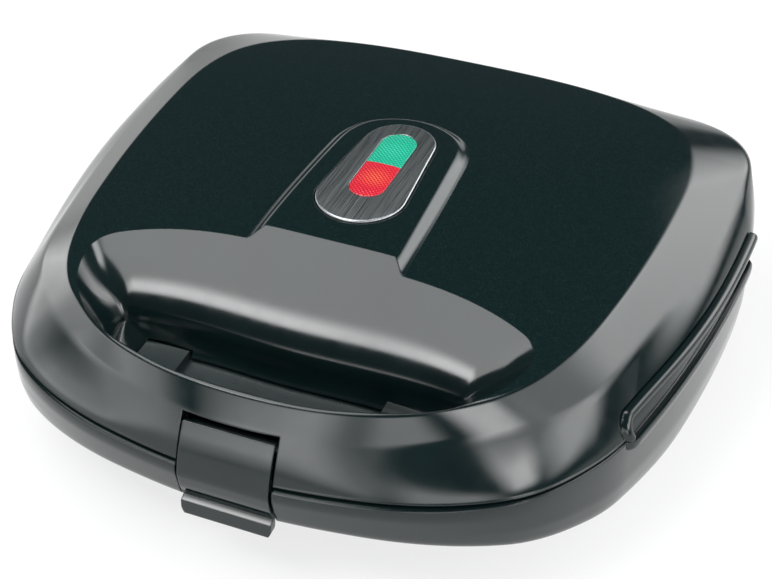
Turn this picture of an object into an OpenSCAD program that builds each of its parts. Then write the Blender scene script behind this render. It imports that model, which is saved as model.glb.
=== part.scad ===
// Two-slice sandwich toaster with a hinged lid, a scooped finger recess behind a ring handle,
// a snap latch at the front and a two-colour indicator window on top.
// X runs across, +Y to the rear where the hinge is, +Z up from the table.

/* [Housing] */
// Width of the housing at its parting line
body_w = 244.8; // [236:0.2:256]
// Depth of the housing at its parting line
body_d = 238.5; // [232:0.5:250]
// Height of the parting plane above the table
parting_z = 42; // [40:0.5:46]
// Air gap between lid and base along the parting line
seam_gap = 0.8; // [0.6:0.1:1.2]
// Wall thickness of the moulded shells
wall = 2.4; // [2:0.1:2.8]
// Clearance between pieces that are assembled into one another
fit_gap = 0.3; // [0.2:0.05:0.4]

/* [Lid] */
// Height of the side crease above the parting plane
crease_h = 16; // [14:0.5:18]
// Height of the edge of the top panel above the parting plane
panel_h = 24; // [22:0.5:26]
// Rise of the domed top panel over its edge
dome_rise = 8; // [6:0.5:9]
// Height of the raised plateau round the indicator
plateau_h = 2.7; // [2:0.1:3.2]
// Half width of the plateau at its front end
plateau_half_w = 26.5; // [24:0.5:29]
// Half height of the rail along the right side of the lid
rail_r = 2.2; // [1.6:0.1:2.4]
// Height of the rail above the parting plane
rail_h = 6; // [5.5:0.25:7.5]

/* [Finger recess] */
// Half width of the recess at its foot
scoop_half_w = 55.4; // [48:0.1:58]
// Distance from the front of the housing to the rear wall of the recess at its foot
scoop_rear = 44.6; // [42:0.2:46]
// Distance from the front of the housing to the front wall of the recess at its foot
scoop_front = 14.9; // [14.5:0.1:17]
// Corner radius of the recess
scoop_corner = 9; // [7:0.5:10]
// Height of the steps in the parting line at both ends of the recess
step_h = 3; // [2:0.5:4]

/* [Base] */
// Height of the flat underside above the table
floor_z = 3.5; // [3:0.5:5]
// Slope of the raised underside below the handle, rise per length
bow_slope = 0.24; // [0.2:0.01:0.26]
// Distance from the rear of the housing to the start of the raised underside
bow_start = 127; // [120:1:135]
// How far the flange on the right side of the base stands proud of it
flange_proud = 2.5; // [2:0.1:2.8]
// Height of that flange
flange_h = 3.5; // [3:0.1:4]
// Radius of a foot where it meets the table
foot_r = 7; // [6:0.5:8]

/* [Plates] */
// Distance from the side of the housing to the edge of a baking plate
plate_side = 16.8; // [16:0.2:19]
// Distance from the front of the housing to the front edge of a plate
plate_front = 61.3; // [60:0.5:64]
// Distance from the rear of the housing to the rear edge of a plate
plate_rear = 59.2; // [57:0.5:62]
// Thickness of a plate's rim
rim_t = 2.5; // [2:0.1:3]
// Depth of the sandwich pockets
pocket_depth = 11; // [9:0.5:12]
// Width of the land between pockets and plate edge, where the heating tube runs
land_w = 12; // [11.5:0.25:13]
// Width of the ridge that cuts a sandwich into triangles
ridge_w = 7; // [6:0.5:9]
// Diameter of the heating tube
tube_d = 6.5; // [6:0.1:6.8]

/* [Hinge] */
// Distance from the middle to each hinge
hinge_x = 78; // [74:1:80]
// Radius of the hinge barrels
barrel_r = 6; // [5.5:0.25:6.5]
// Width of a lid knuckle
knuckle_w = 16; // [14:1:18]
// Thickness of a base ear
ear_t = 5; // [4:0.5:6]
// Radius of a hinge pin
hinge_pin_r = 2; // [1.75:0.05:2.25]
// Running clearance of the pins in the moving bores
run_gap = 0.05; // [0.03:0.01:0.08]

/* [Latch] */
// Width of the latch
latch_w = 31; // [29:0.2:34]
// Gap between the latch and its cut-outs
latch_gap = 0.9; // [0.8:0.1:1.2]
// How far the latch bulges in front of the parting line
latch_proud = 1; // [0.8:0.1:1.4]
// Radius of the latch pin
latch_pin_r = 1.1; // [1:0.05:1.2]

/* [Indicator] */
// Radius of the front end of the bezel
bezel_front_r = 15.7; // [14.5:0.1:16.5]
// Radius of the rear end of the bezel
bezel_rear_r = 13; // [12:0.1:14]
// Distance between the centres of the two ends of the bezel
bezel_span = 34; // [32:0.5:36]
// Thickness of the bezel plate
bezel_t = 1.6; // [1.4:0.1:1.8]
// Radius of the ends of the lens window
lens_r = 6.4; // [6:0.1:7]
// Distance between the centres of the two ends of the lens window
lens_span = 28; // [26:0.5:30]

/* [Cord inlet] */
// Radius of the hole for the cord
cord_bore_r = 3.6; // [3:0.1:4]
// Length of the cord bush
gland_l = 12; // [10:0.5:14]

/* [Hidden] */

$fn = 32;

// Steps per span of a housing outline
span_steps = 4;
eps = 0.01;

// ---- Levels and limits of the housing ----
hw = body_w / 2;
hinge_offset = 0.3;
hinge_proud = hinge_offset + barrel_r;
total_d = latch_proud + body_d + hinge_proud;
front_y = -total_d / 2 + latch_proud;
rear_y = front_y + body_d;
lid_z = parting_z + seam_gap / 2;
base_z = parting_z - seam_gap / 2;
crease_z = parting_z + crease_h;
panel_z = parting_z + panel_h;
hinge_y = rear_y + hinge_offset;
hinge_z = parting_z;
deck_t = rim_t;

// ---- Curves ----
// A span between two keys [x, y, heading] as a Bezier curve that is an arc where it can be one
function heading(a) = [cos(a), sin(a)];
function reach(a, b) =
    let (turn = max(abs(b[2] - a[2]), 0.5), chord = norm([b[0] - a[0], b[1] - a[1]]))
    chord * 2 / 3 * tan(turn / 4) / sin(turn / 2);
function on_span(a, b, t) =
    let (r = reach(a, b), p = [a[0], a[1]], s = [b[0], b[1]],
        q = p + r * heading(a[2]), w = s - r * heading(b[2]))
    pow(1 - t, 3) * p + 3 * pow(1 - t, 2) * t * q + 3 * (1 - t) * t * t * w + t * t * t * s;
function on_curve(p, q, w, s, t) =
    pow(1 - t, 3) * p + 3 * pow(1 - t, 2) * t * q + 3 * (1 - t) * t * t * w + t * t * t * s;
// Half an outline, from the first key to the last, both on the plane of symmetry
function half(keys, steps) = [for (i = [0 : len(keys) - 2]) for (k = [0 : steps - 1])
    on_span(keys[i], keys[i + 1], k / steps)];
// The whole outline: the right half, then its mirror image back to the start
function whole(keys, steps) =
    let (h = half(keys, steps), last = keys[len(keys) - 1], n = len(h))
    concat(h, [[0, last[1]]], [for (i = [1 : n - 1]) [-h[n - i][0], h[n - i][1]]]);

// ---- Point lists ----
function mix(a, b, t) = a * (1 - t) + b * t;
function at_z(pts, z) = [for (p = pts) [p[0], p[1], z]];
// Moves a closed counter-clockwise outline inwards by d, a number or one number per point
function inset(pts, d) =
    let (n = len(pts))
    [for (i = [0 : n - 1])
        let (a = pts[(i + n - 1) % n], b = pts[(i + 1) % n], e = is_num(d) ? d : d[i],
            t = [b[0] - a[0], b[1] - a[1]] / norm([b[0] - a[0], b[1] - a[1]]))
        [pts[i][0] - t[1] * e, pts[i][1] + t[0] * e]];
function scaled(pts, c, s) = [for (p = pts) [c[0] + (p[0] - c[0]) * s, c[1] + (p[1] - c[1]) * s]];
// The x of the right half of an outline at a given y
function x_at(pts, y) =
    let (n = floor(len(pts) / 2),
        hits = [for (i = [0 : n - 1]) if (pts[i][1] <= y && pts[i + 1][1] > y)
            mix(pts[i][0], pts[i + 1][0], (y - pts[i][1]) / (pts[i + 1][1] - pts[i][1]))])
    len(hits) > 0 ? max(hits) : 0;

// Closed skin over rings of equal length, which run counter-clockwise and rise in order
module skin(rings) {
    n = len(rings[0]);
    m = len(rings);
    pts = [for (r = rings) for (p = r) p];
    low = centre(rings[0]);
    high = centre(rings[m - 1]);
    walls = [for (j = [0 : m - 2]) for (i = [0 : n - 1])
        let (k = (i + 1) % n)
        each [[j * n + i, (j + 1) * n + i, (j + 1) * n + k], [j * n + i, (j + 1) * n + k, j * n + k]]];
    caps = [for (i = [0 : n - 1]) let (k = (i + 1) % n)
        each [[n * m, i, k], [n * m + 1, (m - 1) * n + k, (m - 1) * n + i]]];
    polyhedron(points = concat(pts, [low, high]), faces = concat(walls, caps), convexity = 6);
}
function centre(ring, i = 0) =
    let (ones = [for (p = ring) 1]) (ones * ring) / len(ring);

module mirrored() {
    children();
    mirror([1, 0, 0]) children();
}

// Rounded rectangle with true arcs
module round_rect(w, d, r) {
    square([w - 2 * r, d], center = true);
    square([w, d - 2 * r], center = true);
    for (x = [-1, 1], y = [-1, 1]) translate([x * (w / 2 - r), y * (d / 2 - r)]) circle(r);
}
// Two circles of different size joined by their tangents
module taper_pill(r_front, r_rear, span) {
    hull() {
        circle(r_front, $fn = 48);
        translate([0, span]) circle(r_rear, $fn = 48);
    }
}
module straight_pill(r, span) {
    circle(r);
    translate([0, span]) circle(r);
    translate([-r, 0]) square([2 * r, span]);
}

// ---- Housing outlines, as keys [share of half width, y, heading] ----
function keyed(shares) = [for (k = shares) [k[0] * hw, k[1], k[2]]];
seam_keys = keyed([[0, front_y, 0], [0.35, front_y + 5.1, 12], [0.69, front_y + 22.8, 35.5],
    [0.85, front_y + 48.2, 63], [0.898, front_y + 64.3, 77], [0.998, rear_y - 67.2, 90],
    [0.972, rear_y - 43.2, 101], [0.851, rear_y - 15.7, 135], [0.586, rear_y - 1.2, 175],
    [0, rear_y, 180]]);
crease_keys = keyed([[0, front_y + 6.7, 0], [0.388, front_y + 15.8, 22],
    [0.656, front_y + 36.5, 44], [0.801, front_y + 61.8, 70], [0.854, front_y + 92.3, 81],
    [0.925, rear_y - 51.2, 89], [0.928, rear_y - 35.2, 94], [0.867, rear_y - 18.5, 135],
    [0.692, rear_y - 9.8, 175], [0, rear_y - 7.7, 180]]);
panel_keys = keyed([[0, front_y + 11.8, 0], [0.376, front_y + 19.6, 22],
    [0.573, front_y + 36.5, 42], [0.694, front_y + 59.3, 69], [0.753, front_y + 87.3, 81],
    [0.802, rear_y - 76.2, 90], [0.761, rear_y - 44.2, 113], [0.651, rear_y - 28.2, 146],
    [0.494, rear_y - 19.6, 166], [0, rear_y - 14.5, 180]]);
seam_line = whole(seam_keys, span_steps);
crease_line = whole(crease_keys, span_steps);
panel_line = whole(panel_keys, span_steps);

// ---- Domed top ----
dome_mid = [0, (panel_keys[0][1] + panel_keys[9][1]) / 2];
function panel_reach(p) =
    let (d = p - dome_mid, a = atan2(abs(d[0]), d[1]), n = span_steps * 9,
        far = [for (i = [0 : n - 1])
            let (u = panel_line[i] - dome_mid, v = panel_line[i + 1] - dome_mid,
                au = atan2(u[0], u[1]), av = atan2(v[0], v[1]))
            if (au >= a && av <= a) mix(norm(u), norm(v), (au - a) / max(au - av, eps))])
    len(far) > 0 ? far[0] : norm(panel_line[0] - dome_mid);
function dome_z(p) =
    let (q = [p[0], p[1]], s = norm(q - dome_mid) / panel_reach(q))
    panel_z + dome_rise * (1 - s * s);
function dome_ring(s, line, drop = 0) =
    [for (p = scaled(line, dome_mid, s)) [p[0], p[1], panel_z + dome_rise * (1 - s * s) - drop]];

// ---- Sections of the lid: rings from the seam over the crease to the top ----
// The wall leans in slowly at first and faster towards the crease, most of all along the sides
function smooth(t) = let (u = min(max(t, 0), 1)) u * u * (3 - 2 * u);
function fullness(y) = 1.25 + 1.1 * smooth((y - front_y - 62) / 80) * smooth((rear_y - 25 - y) / 40);
crease_round = 0.1;
function lid_side(t) = [for (i = [0 : len(seam_line) - 1])
    let (s = seam_line[i], c = crease_line[i], f = pow(t, fullness(s[1])))
    [mix(s[0], c[0], f), mix(s[1], c[1], f), mix(lid_z, crease_z, t)]];
function lid_border(t) = [for (i = [0 : len(seam_line) - 1]) mix(
    [crease_line[i][0], crease_line[i][1], crease_z],
    [panel_line[i][0], panel_line[i][1], panel_z], t)];

module lid_block() {
    skin(concat(
        [at_z(inset(seam_line, 0.6), lid_z), at_z(seam_line, lid_z + 0.7)],
        [for (t = [0.25, 0.5, 0.72]) lid_side(t)],
        [lid_side(1 - crease_round)],
        [mix(mix(lid_side(1 - crease_round), lid_border(crease_round), 0.5), lid_side(1), 0.5)],
        [lid_border(crease_round), lid_border(0.95)],
        [for (s = [0.985, 0.9, 0.75, 0.55, 0.3]) dome_ring(s, panel_line)]));
}
// The wall is thicker above a ledge that the deck rests against
ledge = 1.6;
module lid_cavity() {
    skin([at_z(inset(seam_line, wall), lid_z - 1), at_z(inset(seam_line, wall), lid_z + deck_t + 0.2),
        at_z(inset(seam_line, wall + ledge), lid_z + deck_t + 0.7),
        at_z(inset(crease_line, wall * 1.1), crease_z - wall * 0.35),
        dome_ring(0.96, panel_line, wall * 1.3), dome_ring(0.8, panel_line, wall),
        dome_ring(0.55, panel_line, wall), dome_ring(0.25, panel_line, wall)]);
}

// ---- Scooped finger recess ----
// Flare of the recess, [outwards, upwards] from its foot: a foot that fans out, a steep
// wall, then a long shallow run to the top
flare_foot = [[0, 0], [2.2, 1.6], [3.2, 4], [4, 7.5]];
flare_wall = [[4, 7.5], [5.6, 14], [12.5, 19.2], [20.8, 23.9]];
flare_top = [52, 42.4];
flare = concat([[-1.2, -1.5]],
    [for (t = [0, 0.4, 0.8]) on_curve(flare_foot[0], flare_foot[1], flare_foot[2], flare_foot[3], t)],
    [for (t = [0, 0.22, 0.4, 0.56, 0.72, 0.88, 1])
        on_curve(flare_wall[0], flare_wall[1], flare_wall[2], flare_wall[3], t)], [flare_top]);
scoop_rear_y = front_y + scoop_rear;
scoop_front_y = front_y + scoop_front;
draft = 0.08;
function scoop_keys(e, h, grow) =
    let (xt = scoop_half_w + e + grow, yr = scoop_rear_y + e + grow, yf = scoop_front_y - draft * h - grow,
        c = scoop_corner, rise = yr - yf)
    [[0, yr, 0], [xt - c, yr - 0.6, -10], [xt, yr - c, -90],
        [0.84 * xt, yf + 0.33 * (rise - e) + 0.4 * e, -135],
        [0.44 * xt, yf + 0.07 * rise, -163], [0, yf, -180]];
// The keys run clockwise, so each ring is turned round
function reversed(pts) = [for (i = [len(pts) - 1 : -1 : 0]) pts[i]];
module scoop_block(grow) {
    skin([for (f = flare)
        at_z(reversed(whole(scoop_keys(f[0], f[1], grow), 5)), parting_z + f[1])]);
}

// ---- Plateau and indicator ----
plateau_rear_y = dome_mid[1] + 47.7;
plateau_flank = 4;
plateau_keys = [[0, front_y + 64, 0], [plateau_half_w - 6.4, front_y + 64, 0],
    [plateau_half_w + 0.6, front_y + 71, 90], [plateau_half_w - 2, plateau_rear_y - 24, 94],
    [plateau_half_w - 12, plateau_rear_y - 4.5, 148], [0, plateau_rear_y, 180]];
plateau_line = whole(plateau_keys, 5);
function on_dome(pts, h) = [for (p = pts) [p[0], p[1], dome_z(p) + h]];
module plateau_block() {
    mid = [0, dome_mid[1] - 4];
    skin([on_dome(inset(plateau_line, plateau_flank * 0.5), -wall * 0.8),
        on_dome(inset(plateau_line, -plateau_flank * 0.3), -plateau_h * 0.2),
        on_dome(inset(plateau_line, plateau_flank * 0.3), plateau_h * 0.22),
        on_dome(inset(plateau_line, plateau_flank * 0.75), plateau_h * 0.8),
        on_dome(inset(plateau_line, plateau_flank * 1.1), plateau_h),
        on_dome(scaled(inset(plateau_line, plateau_flank * 1.1), mid, 0.6), plateau_h),
        on_dome(scaled(inset(plateau_line, plateau_flank * 1.1), mid, 0.2), plateau_h)]);
}
bezel_y = dome_mid[1] - 9;
bezel_seat_z = panel_z + dome_rise + plateau_h - bezel_t + 0.3;
lens_y = dome_mid[1] - 3.5;
lens_top_z = panel_z + dome_rise + plateau_h + 1;
lens_flange = 1.2;
ceiling_z = panel_z + dome_rise - wall;
lens_foot_z = ceiling_z - fit_gap - lens_flange;
board_t = 1.6;
board_z = lens_foot_z - 8;
board_w = 27;
board_l = 36;
board_y = lens_y + lens_span / 2;
board_post_r = 2.5;
board_clear = 3.5;

// ---- Baking plates ----
plate_w = body_w - 2 * plate_side;
plate_y0 = front_y + plate_front;
plate_y1 = rear_y - plate_rear;
plate_d = plate_y1 - plate_y0;
plate_y = (plate_y0 + plate_y1) / 2;
plate_corner = 16;
cell_gap = 12;
cell_w = (plate_w - 2 * land_w - cell_gap) / 2;
cell_d = plate_d - 2 * land_w;
pocket_wall = 2.5;
post_y = cell_d / 2 - 11;
post_r = 4;
screw_r = 1.5;
shield_gap = 1.6;
shield_t = 0.8;
// Depth below the plate's face at which the shield lies
shield_depth = pocket_depth + pocket_wall + shield_gap;

// One triangular pocket: a flat mouth and rounded corners at the bottom. The corners are
// the cell's inner front, outer front and outer rear, or the other three
module pocket(side, grow) {
    r = 7;
    low = 3.5;
    slope = 4.5;
    inner = cell_gap / 2;
    outer = inner + cell_w;
    f = -cell_d / 2;
    b = cell_d / 2;
    k = ridge_w / 2 + r;
    pts = side > 0
        ? [[inner + r, f + r + k * 1.1], [inner + r, b - r], [outer - r - k * 1.1, b - r]]
        : [[outer - r, b - r - k * 1.1], [outer - r, f + r], [inner + r + k * 1.1, f + r]];
    mid = (pts[0] + pts[1] + pts[2]) / 3;
    hull() for (p = pts) {
        q = p + (mid - p) / norm(mid - p) * slope;
        translate([p[0], p[1], -eps]) cylinder(r = r + grow, h = 1 + (grow > 0 ? 0 : eps), $fn = 20);
        translate([q[0], q[1], -pocket_depth + low]) sphere(low + grow, $fn = 16);
    }
}
// A plate that faces up, with its face at z = 0 and its middle at the origin
module plate() {
    difference() {
        union() {
            translate([0, 0, -rim_t]) linear_extrude(rim_t) round_rect(plate_w, plate_d, plate_corner);
            mirrored() for (side = [-1, 1])
                translate([0, 0, -rim_t]) intersection() {
                    translate([0, 0, rim_t]) pocket(side, pocket_wall);
                    translate([-hw, -hw, -40]) cube([body_w, body_w, 40 + eps]);
                }
        }
        mirrored() for (side = [-1, 1]) pocket(side, 0);
        mirrored() translate([(cell_gap + cell_w) / 2, 0, -0.8])
            linear_extrude(1) round_rect(cell_w + 2, cell_d + 2, 8);
        for (y = [-1, 1]) translate([0, y * post_y, -rim_t - 1]) cylinder(r = screw_r + 0.2, h = rim_t + 2);
        for (y = [-1, 1]) translate([0, y * post_y, -1.6])
            cylinder(r1 = screw_r + 0.2, r2 = screw_r + 2, h = 1.6 + eps);
    }
}
// The places of the two plates: the lower one faces up, the upper one down
module at_lower_plate() {
    translate([0, plate_y, base_z]) children();
}
module at_upper_plate() {
    translate([0, plate_y, lid_z]) mirror([0, 0, 1]) children();
}
// Countersunk screws that hold a plate to its two posts
module plate_screws() {
    for (y = [-1, 1]) translate([0, y * post_y, 0]) {
        translate([0, 0, -1.5]) cylinder(r1 = screw_r, r2 = screw_r + 1.8, h = 1.4);
        translate([0, 0, -rim_t - 7]) cylinder(r = screw_r, h = rim_t + 5.6);
    }
}

// ---- Heating tube: a loop round the pockets that opens at the rear ----
tube_r = tube_d / 2;
tube_x = plate_w / 2 - land_w / 2 + 0.3;
tube_y = plate_d / 2 - land_w / 2 + 0.3;
tube_bend = 11;
tube_z = -rim_t - tube_r - 0.05;
tube_end_x = 24;
pin_r = 1.2;
module heating_loop() {
    translate([0, 0, tube_z]) {
        mirrored() {
            translate([tube_x, -tube_y + tube_bend, 0]) rotate([-90, 0, 0])
                cylinder(r = tube_r, h = 2 * (tube_y - tube_bend));
            translate([tube_x - tube_bend, -tube_y + tube_bend, 0]) rotate([0, 0, -90])
                rotate_extrude(angle = 90) translate([tube_bend, 0]) circle(tube_r);
            translate([tube_x - tube_bend, tube_y - tube_bend, 0])
                rotate_extrude(angle = 90) translate([tube_bend, 0]) circle(tube_r);
            translate([tube_end_x, tube_y, 0]) rotate([0, 90, 0])
                cylinder(r = tube_r, h = tube_x - tube_bend - tube_end_x);
            translate([tube_end_x - 9, tube_y, 0]) rotate([0, 90, 0])
                cylinder(r = pin_r, h = 10);
        }
        translate([-tube_x + tube_bend, -tube_y, 0]) rotate([0, 90, 0])
            cylinder(r = tube_r, h = 2 * (tube_x - tube_bend));
    }
}
// A saddle clip that presses the tube against the back of a plate, with its foot on the outside
clip_t = 0.9;
clip_foot = 2.4;
module clip() {
    rotate([90, 0, 0]) linear_extrude(8, center = true) difference() {
        union() {
            translate([0, tube_z]) circle(tube_r + 0.05 + clip_t);
            translate([-tube_r - 0.05 - clip_t, tube_z])
                square([2 * (tube_r + 0.05 + clip_t), -tube_z - rim_t]);
            translate([0, -rim_t - clip_t]) square([tube_r + clip_foot, clip_t]);
        }
        translate([0, tube_z]) circle(tube_r + 0.05);
        translate([-tube_r - 0.05, tube_z]) square([2 * tube_r + 0.1, -tube_z]);
    }
}
module clips() {
    mirrored() {
        for (y = [-24, 24]) translate([tube_x, y, 0]) clip();
        translate([48, -tube_y, 0]) rotate([0, 0, -90]) clip();
        translate([60, tube_y, 0]) rotate([0, 0, 90]) clip();
    }
}

// ---- Heat shield: a pressed pan on the shoulders of the two plate posts ----
shield_w = plate_w - 24;
shield_d = plate_d - 10;
shield_lip = 5;
module heat_shield() {
    translate([0, 0, -shield_depth - shield_t]) difference() {
        linear_extrude(shield_t + shield_lip) round_rect(shield_w, shield_d, 20);
        translate([0, 0, shield_t]) linear_extrude(shield_lip + 1)
            round_rect(shield_w - 2 * shield_t, shield_d - 2 * shield_t, 20 - shield_t);
        for (y = [-1, 1]) translate([0, y * post_y, -1]) cylinder(r = post_r + 0.2, h = shield_t + 2);
        for (x = [-2 : 2]) translate([x * 34, 0, -1]) linear_extrude(shield_t + 2)
            round_rect(3, 24, 1.4);
    }
}
// A post for a plate screw: slim next to the plate, with a shoulder under the shield
module plate_posts(length) {
    for (y = [-1, 1]) translate([0, y * post_y, -length]) difference() {
        union() {
            cylinder(r = post_r, h = length - rim_t - 0.1);
            cylinder(r = post_r + 1.6, h = length - shield_depth - shield_t - 0.05);
        }
        translate([0, 0, length - rim_t - 8]) cylinder(r = screw_r + 0.05, h = 9);
    }
}

// ---- Base: walls under the seam, a flat floor and a raised underside at the handle ----
bow_soft = 18;
function floor_at(y) =
    let (u = max(rear_y - bow_start - y, 0))
        floor_z + bow_slope * (sqrt(u * u + bow_soft * bow_soft) - bow_soft);
// Share of the wall's height below the seam, and how far the wall lies inside the seam there;
// in front it bulges out under the seam
base_wall = [[0, -0.5], [0.04, -1], [0.12, -1.3], [0.25, -1.3], [0.42, -0.7], [0.67, 0.3], [0.86, 1.2],
    [0.95, 2.3], [0.99, 4], [1, 6.5]];
function base_inset(d) =
    [for (p = seam_line) d > 0 ? d : mix(d, 0.1 * d, smooth((p[1] - front_y - 8) / 30))];
function base_ring(s, d, up) =
    [for (p = inset(seam_line, base_inset(d))) [p[0], p[1], mix(base_z, floor_at(p[1]), s) + up]];
function base_floor_ring(share, d, up) =
    let (mid = [0, rear_y - bow_start * 0.6])
    [for (p = scaled(inset(seam_line, d), mid, share)) [p[0], p[1], floor_at(p[1]) + up]];
module base_block() {
    skin(concat(
        [for (s = [0.25, 0.6, 0.88]) base_floor_ring(s, 6.5, 0)],
        [for (i = [len(base_wall) - 1 : -1 : 0]) base_ring(base_wall[i][0], base_wall[i][1], 0)]));
}
module base_cavity() {
    skin(concat(
        [for (s = [0.25, 0.6, 0.88]) base_floor_ring(s, 8, wall)],
        [base_ring(0.96, 5, wall), base_ring(0.72, 3, wall * 0.6), base_ring(0.3, wall - 0.2, 0),
            at_z(inset(seam_line, wall), base_z + 1)]));
}

// ---- Side flange of the base and rail of the lid, both on the right side only ----
side_front_y = front_y + 62.3;
side_rear_y = rear_y - 67;
rail_rear_y = rear_y - 62;
function ramp(y, a, b, r) =
    let (u = min(max(y - a, 0), r), v = min(max(b - y, 0), r), w = min(u, v))
        sqrt(r * r - (r - w) * (r - w)) / r;
module side_flange() {
    n = 16;
    ys = [for (i = [0 : n]) mix(side_front_y, side_rear_y, 0.5 - 0.5 * cos(180 * i / n))];
    outer = [for (y = ys) [x_at(seam_line, y) + flange_proud * ramp(y, side_front_y, side_rear_y, 4), y]];
    inner = [for (i = [n : -1 : 0]) [x_at(seam_line, ys[i]) - wall * 0.7, ys[i]]];
    translate([0, 0, base_z - flange_h]) linear_extrude(flange_h - 0.2) polygon(concat(outer, inner));
}
// The rail starts at the seam, turns and runs along the side to the rear. Its section is
// [outwards, sideways] from the middle of its path
rail_section = [[-0.45, 1], [0, 0.9], [0.7, 0.5], [1, 0], [0.7, -0.5], [0, -0.95], [-0.45, -1]];
rail_bend = 4.5;
rail_z = parting_z + rail_h;
function rail_station(y, z, a, size = 1) =
    let (x = x_at(lid_side((z - lid_z) / (crease_z - lid_z)), y)
            + mix(0.1, 0.6, (y - side_front_y) / (rail_rear_y - side_front_y)),
        r = rail_r * size)
    [for (q = rail_section) [x + q[0] * r, y + q[1] * r * sin(a - 90), z + q[1] * r * cos(a - 90)]];
rail_start_y = side_front_y + 1;
module rail() {
    skin(concat(
        [rail_station(rail_start_y, lid_z + 0.3, 0, 0.9),
            rail_station(rail_start_y, rail_z - rail_bend, 0)],
        [for (a = [22.5 : 22.5 : 90])
            rail_station(rail_start_y + rail_bend * (1 - cos(a)),
                rail_z - rail_bend + rail_bend * sin(a), a)],
        [for (i = [1 : 7]) rail_station(mix(rail_start_y + rail_bend, rail_rear_y - 1, i / 7), rail_z, 90)],
        [rail_station(rail_rear_y - 0.3, rail_z, 90, 0.8), rail_station(rail_rear_y, rail_z, 90, 0.5)]));
}

// ---- Latch: section as [y, z] points, its outer face from the top down ----
cut_w = latch_w + 2 * latch_gap;
pivot_y = front_y + 9.4;
pivot_z = parting_z + 8.5;
latch_barrel_r = 2.2;
function latch_pt(p, d = 0) = [front_y + p[0] + d, parting_z + p[1]];
latch_face = [[5.6, 13.2], [3.8, 10.2], [2.2, 7], [0.9, 4], [0, 1.4], [-latch_proud, -3], [-0.7, -6],
    [0, -9.2], [0.9, -11.5]];
latch_lip = [[2, -13], [2, -14.4], [0.5, -15.1], [-0.1, -15.6], [-0.3, -20.4], [0.4, -21.2], [2.4, -20.6],
    [3.6, -14.6]];
latch_back = [[3.6, -11.5], [2.4, -8.6], [1.6, -3], [2.5, 1.4], [3.4, 4], [4.7, 7],
    [6.3, 10.2], [7.4, 12.6]];
module latch_section() {
    polygon([for (p = concat(latch_face, latch_lip, latch_back)) latch_pt(p)]);
}
catch_y = front_y + 7.4;
catch_front_y = catch_y - 2.9;
catch_z = parting_z - 4.8;
hook_z = parting_z - 8.3;
hook_h = 2.8;
// The hook stops just short of the catch, so that each joint moves on its own
hook_tip_y = catch_front_y - 0.4;
module latch_cut(top_z, low_z, depth_y) {
    translate([-cut_w / 2, front_y - 5, low_z]) cube([cut_w, depth_y - front_y + 5, top_z - low_z]);
}

// ---- Hinge ----
// Profile of an ear or arm: the barrel and an arm that reaches into its shell
arm_in_y = hinge_y - 19.5;
module arm_profile(up) {
    translate([hinge_y, hinge_z]) circle(barrel_r);
    polygon([[arm_in_y, hinge_z + up * 12], [hinge_y - 10, hinge_z + up * 12],
        [hinge_y + 0.574 * barrel_r, hinge_z + up * 0.819 * barrel_r], [hinge_y, hinge_z],
        [hinge_y - 0.85 * barrel_r, hinge_z + up * 3.2], [arm_in_y, hinge_z + up * 3.2]]);
}
// Places a profile in the YZ plane and gives it a width along X
module across(w) {
    rotate([90, 0, 90]) linear_extrude(w, center = true) children();
}
ear_gap = 0.4;
ear_x = knuckle_w / 2 + ear_gap + ear_t / 2;
arm_foot_t = 3;
module hinge_bore(r) {
    translate([0, hinge_y, hinge_z]) rotate([0, 90, 0]) cylinder(r = r, h = 60, center = true);
}
// Screws that hold a hinge foot to its boss, along Y
module hinge_screws(z) {
    mirrored() for (dx = [-1, 1]) translate([hinge_x + dx * 5, arm_in_y, z]) rotate([90, 0, 0]) {
        translate([0, 0, -arm_foot_t - 1.8]) cylinder(r = 2.4, h = 1.8);
        translate([0, 0, -arm_foot_t]) cylinder(r = 1.4, h = arm_foot_t + 5);
    }
}
boss_d = 7;
module hinge_boss(z0, z1) {
    mirrored() translate([hinge_x - 10, arm_in_y - boss_d - 0.05, z0]) cube([20, boss_d, z1 - z0]);
}
module hinge_boss_holes(z) {
    mirrored() for (dx = [-1, 1]) translate([hinge_x + dx * 5, arm_in_y + 1, z]) rotate([90, 0, 0])
        cylinder(r = 1.45, h = 6.5);
}
lower_foot_z = hinge_z - 17;
upper_foot_z = hinge_z + 8.5;

// A wire along a list of points: rings with six sides, square to the way on at each point
function side_of(v) = let (c = cross(v, [0, 0, 1])) norm(c) < 0.01 ? [1, 0, 0] : c / norm(c);
module wire(pts, r) {
    n = len(pts);
    skin([for (i = [0 : n - 1])
        let (t = pts[min(i + 1, n - 1)] - pts[max(i - 1, 0)], u = side_of(t), w = cross(u, t / norm(t)))
        [for (a = [0 : 60 : 300]) pts[i] + r * (cos(a) * w + sin(a) * u)]]);
}
// Points along a lead from a to b: a straight start s, then a smooth way that sets out along
// u and arrives along v
function lead(a, s, u, v, b) =
    concat([a], [for (t = [0 : 0.125 : 1]) on_curve(a + s, a + s + u, b - v, b - 0.4 * v, t)], [b]);

// ================= Base =================
feet_at = [for (x = [-1, 1], y = [front_y + 81, rear_y - 30]) [x * (hw - 38), y]];
gland_z = parting_z - 20;
gland_neck_r = cord_bore_r + 2.2;

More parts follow.
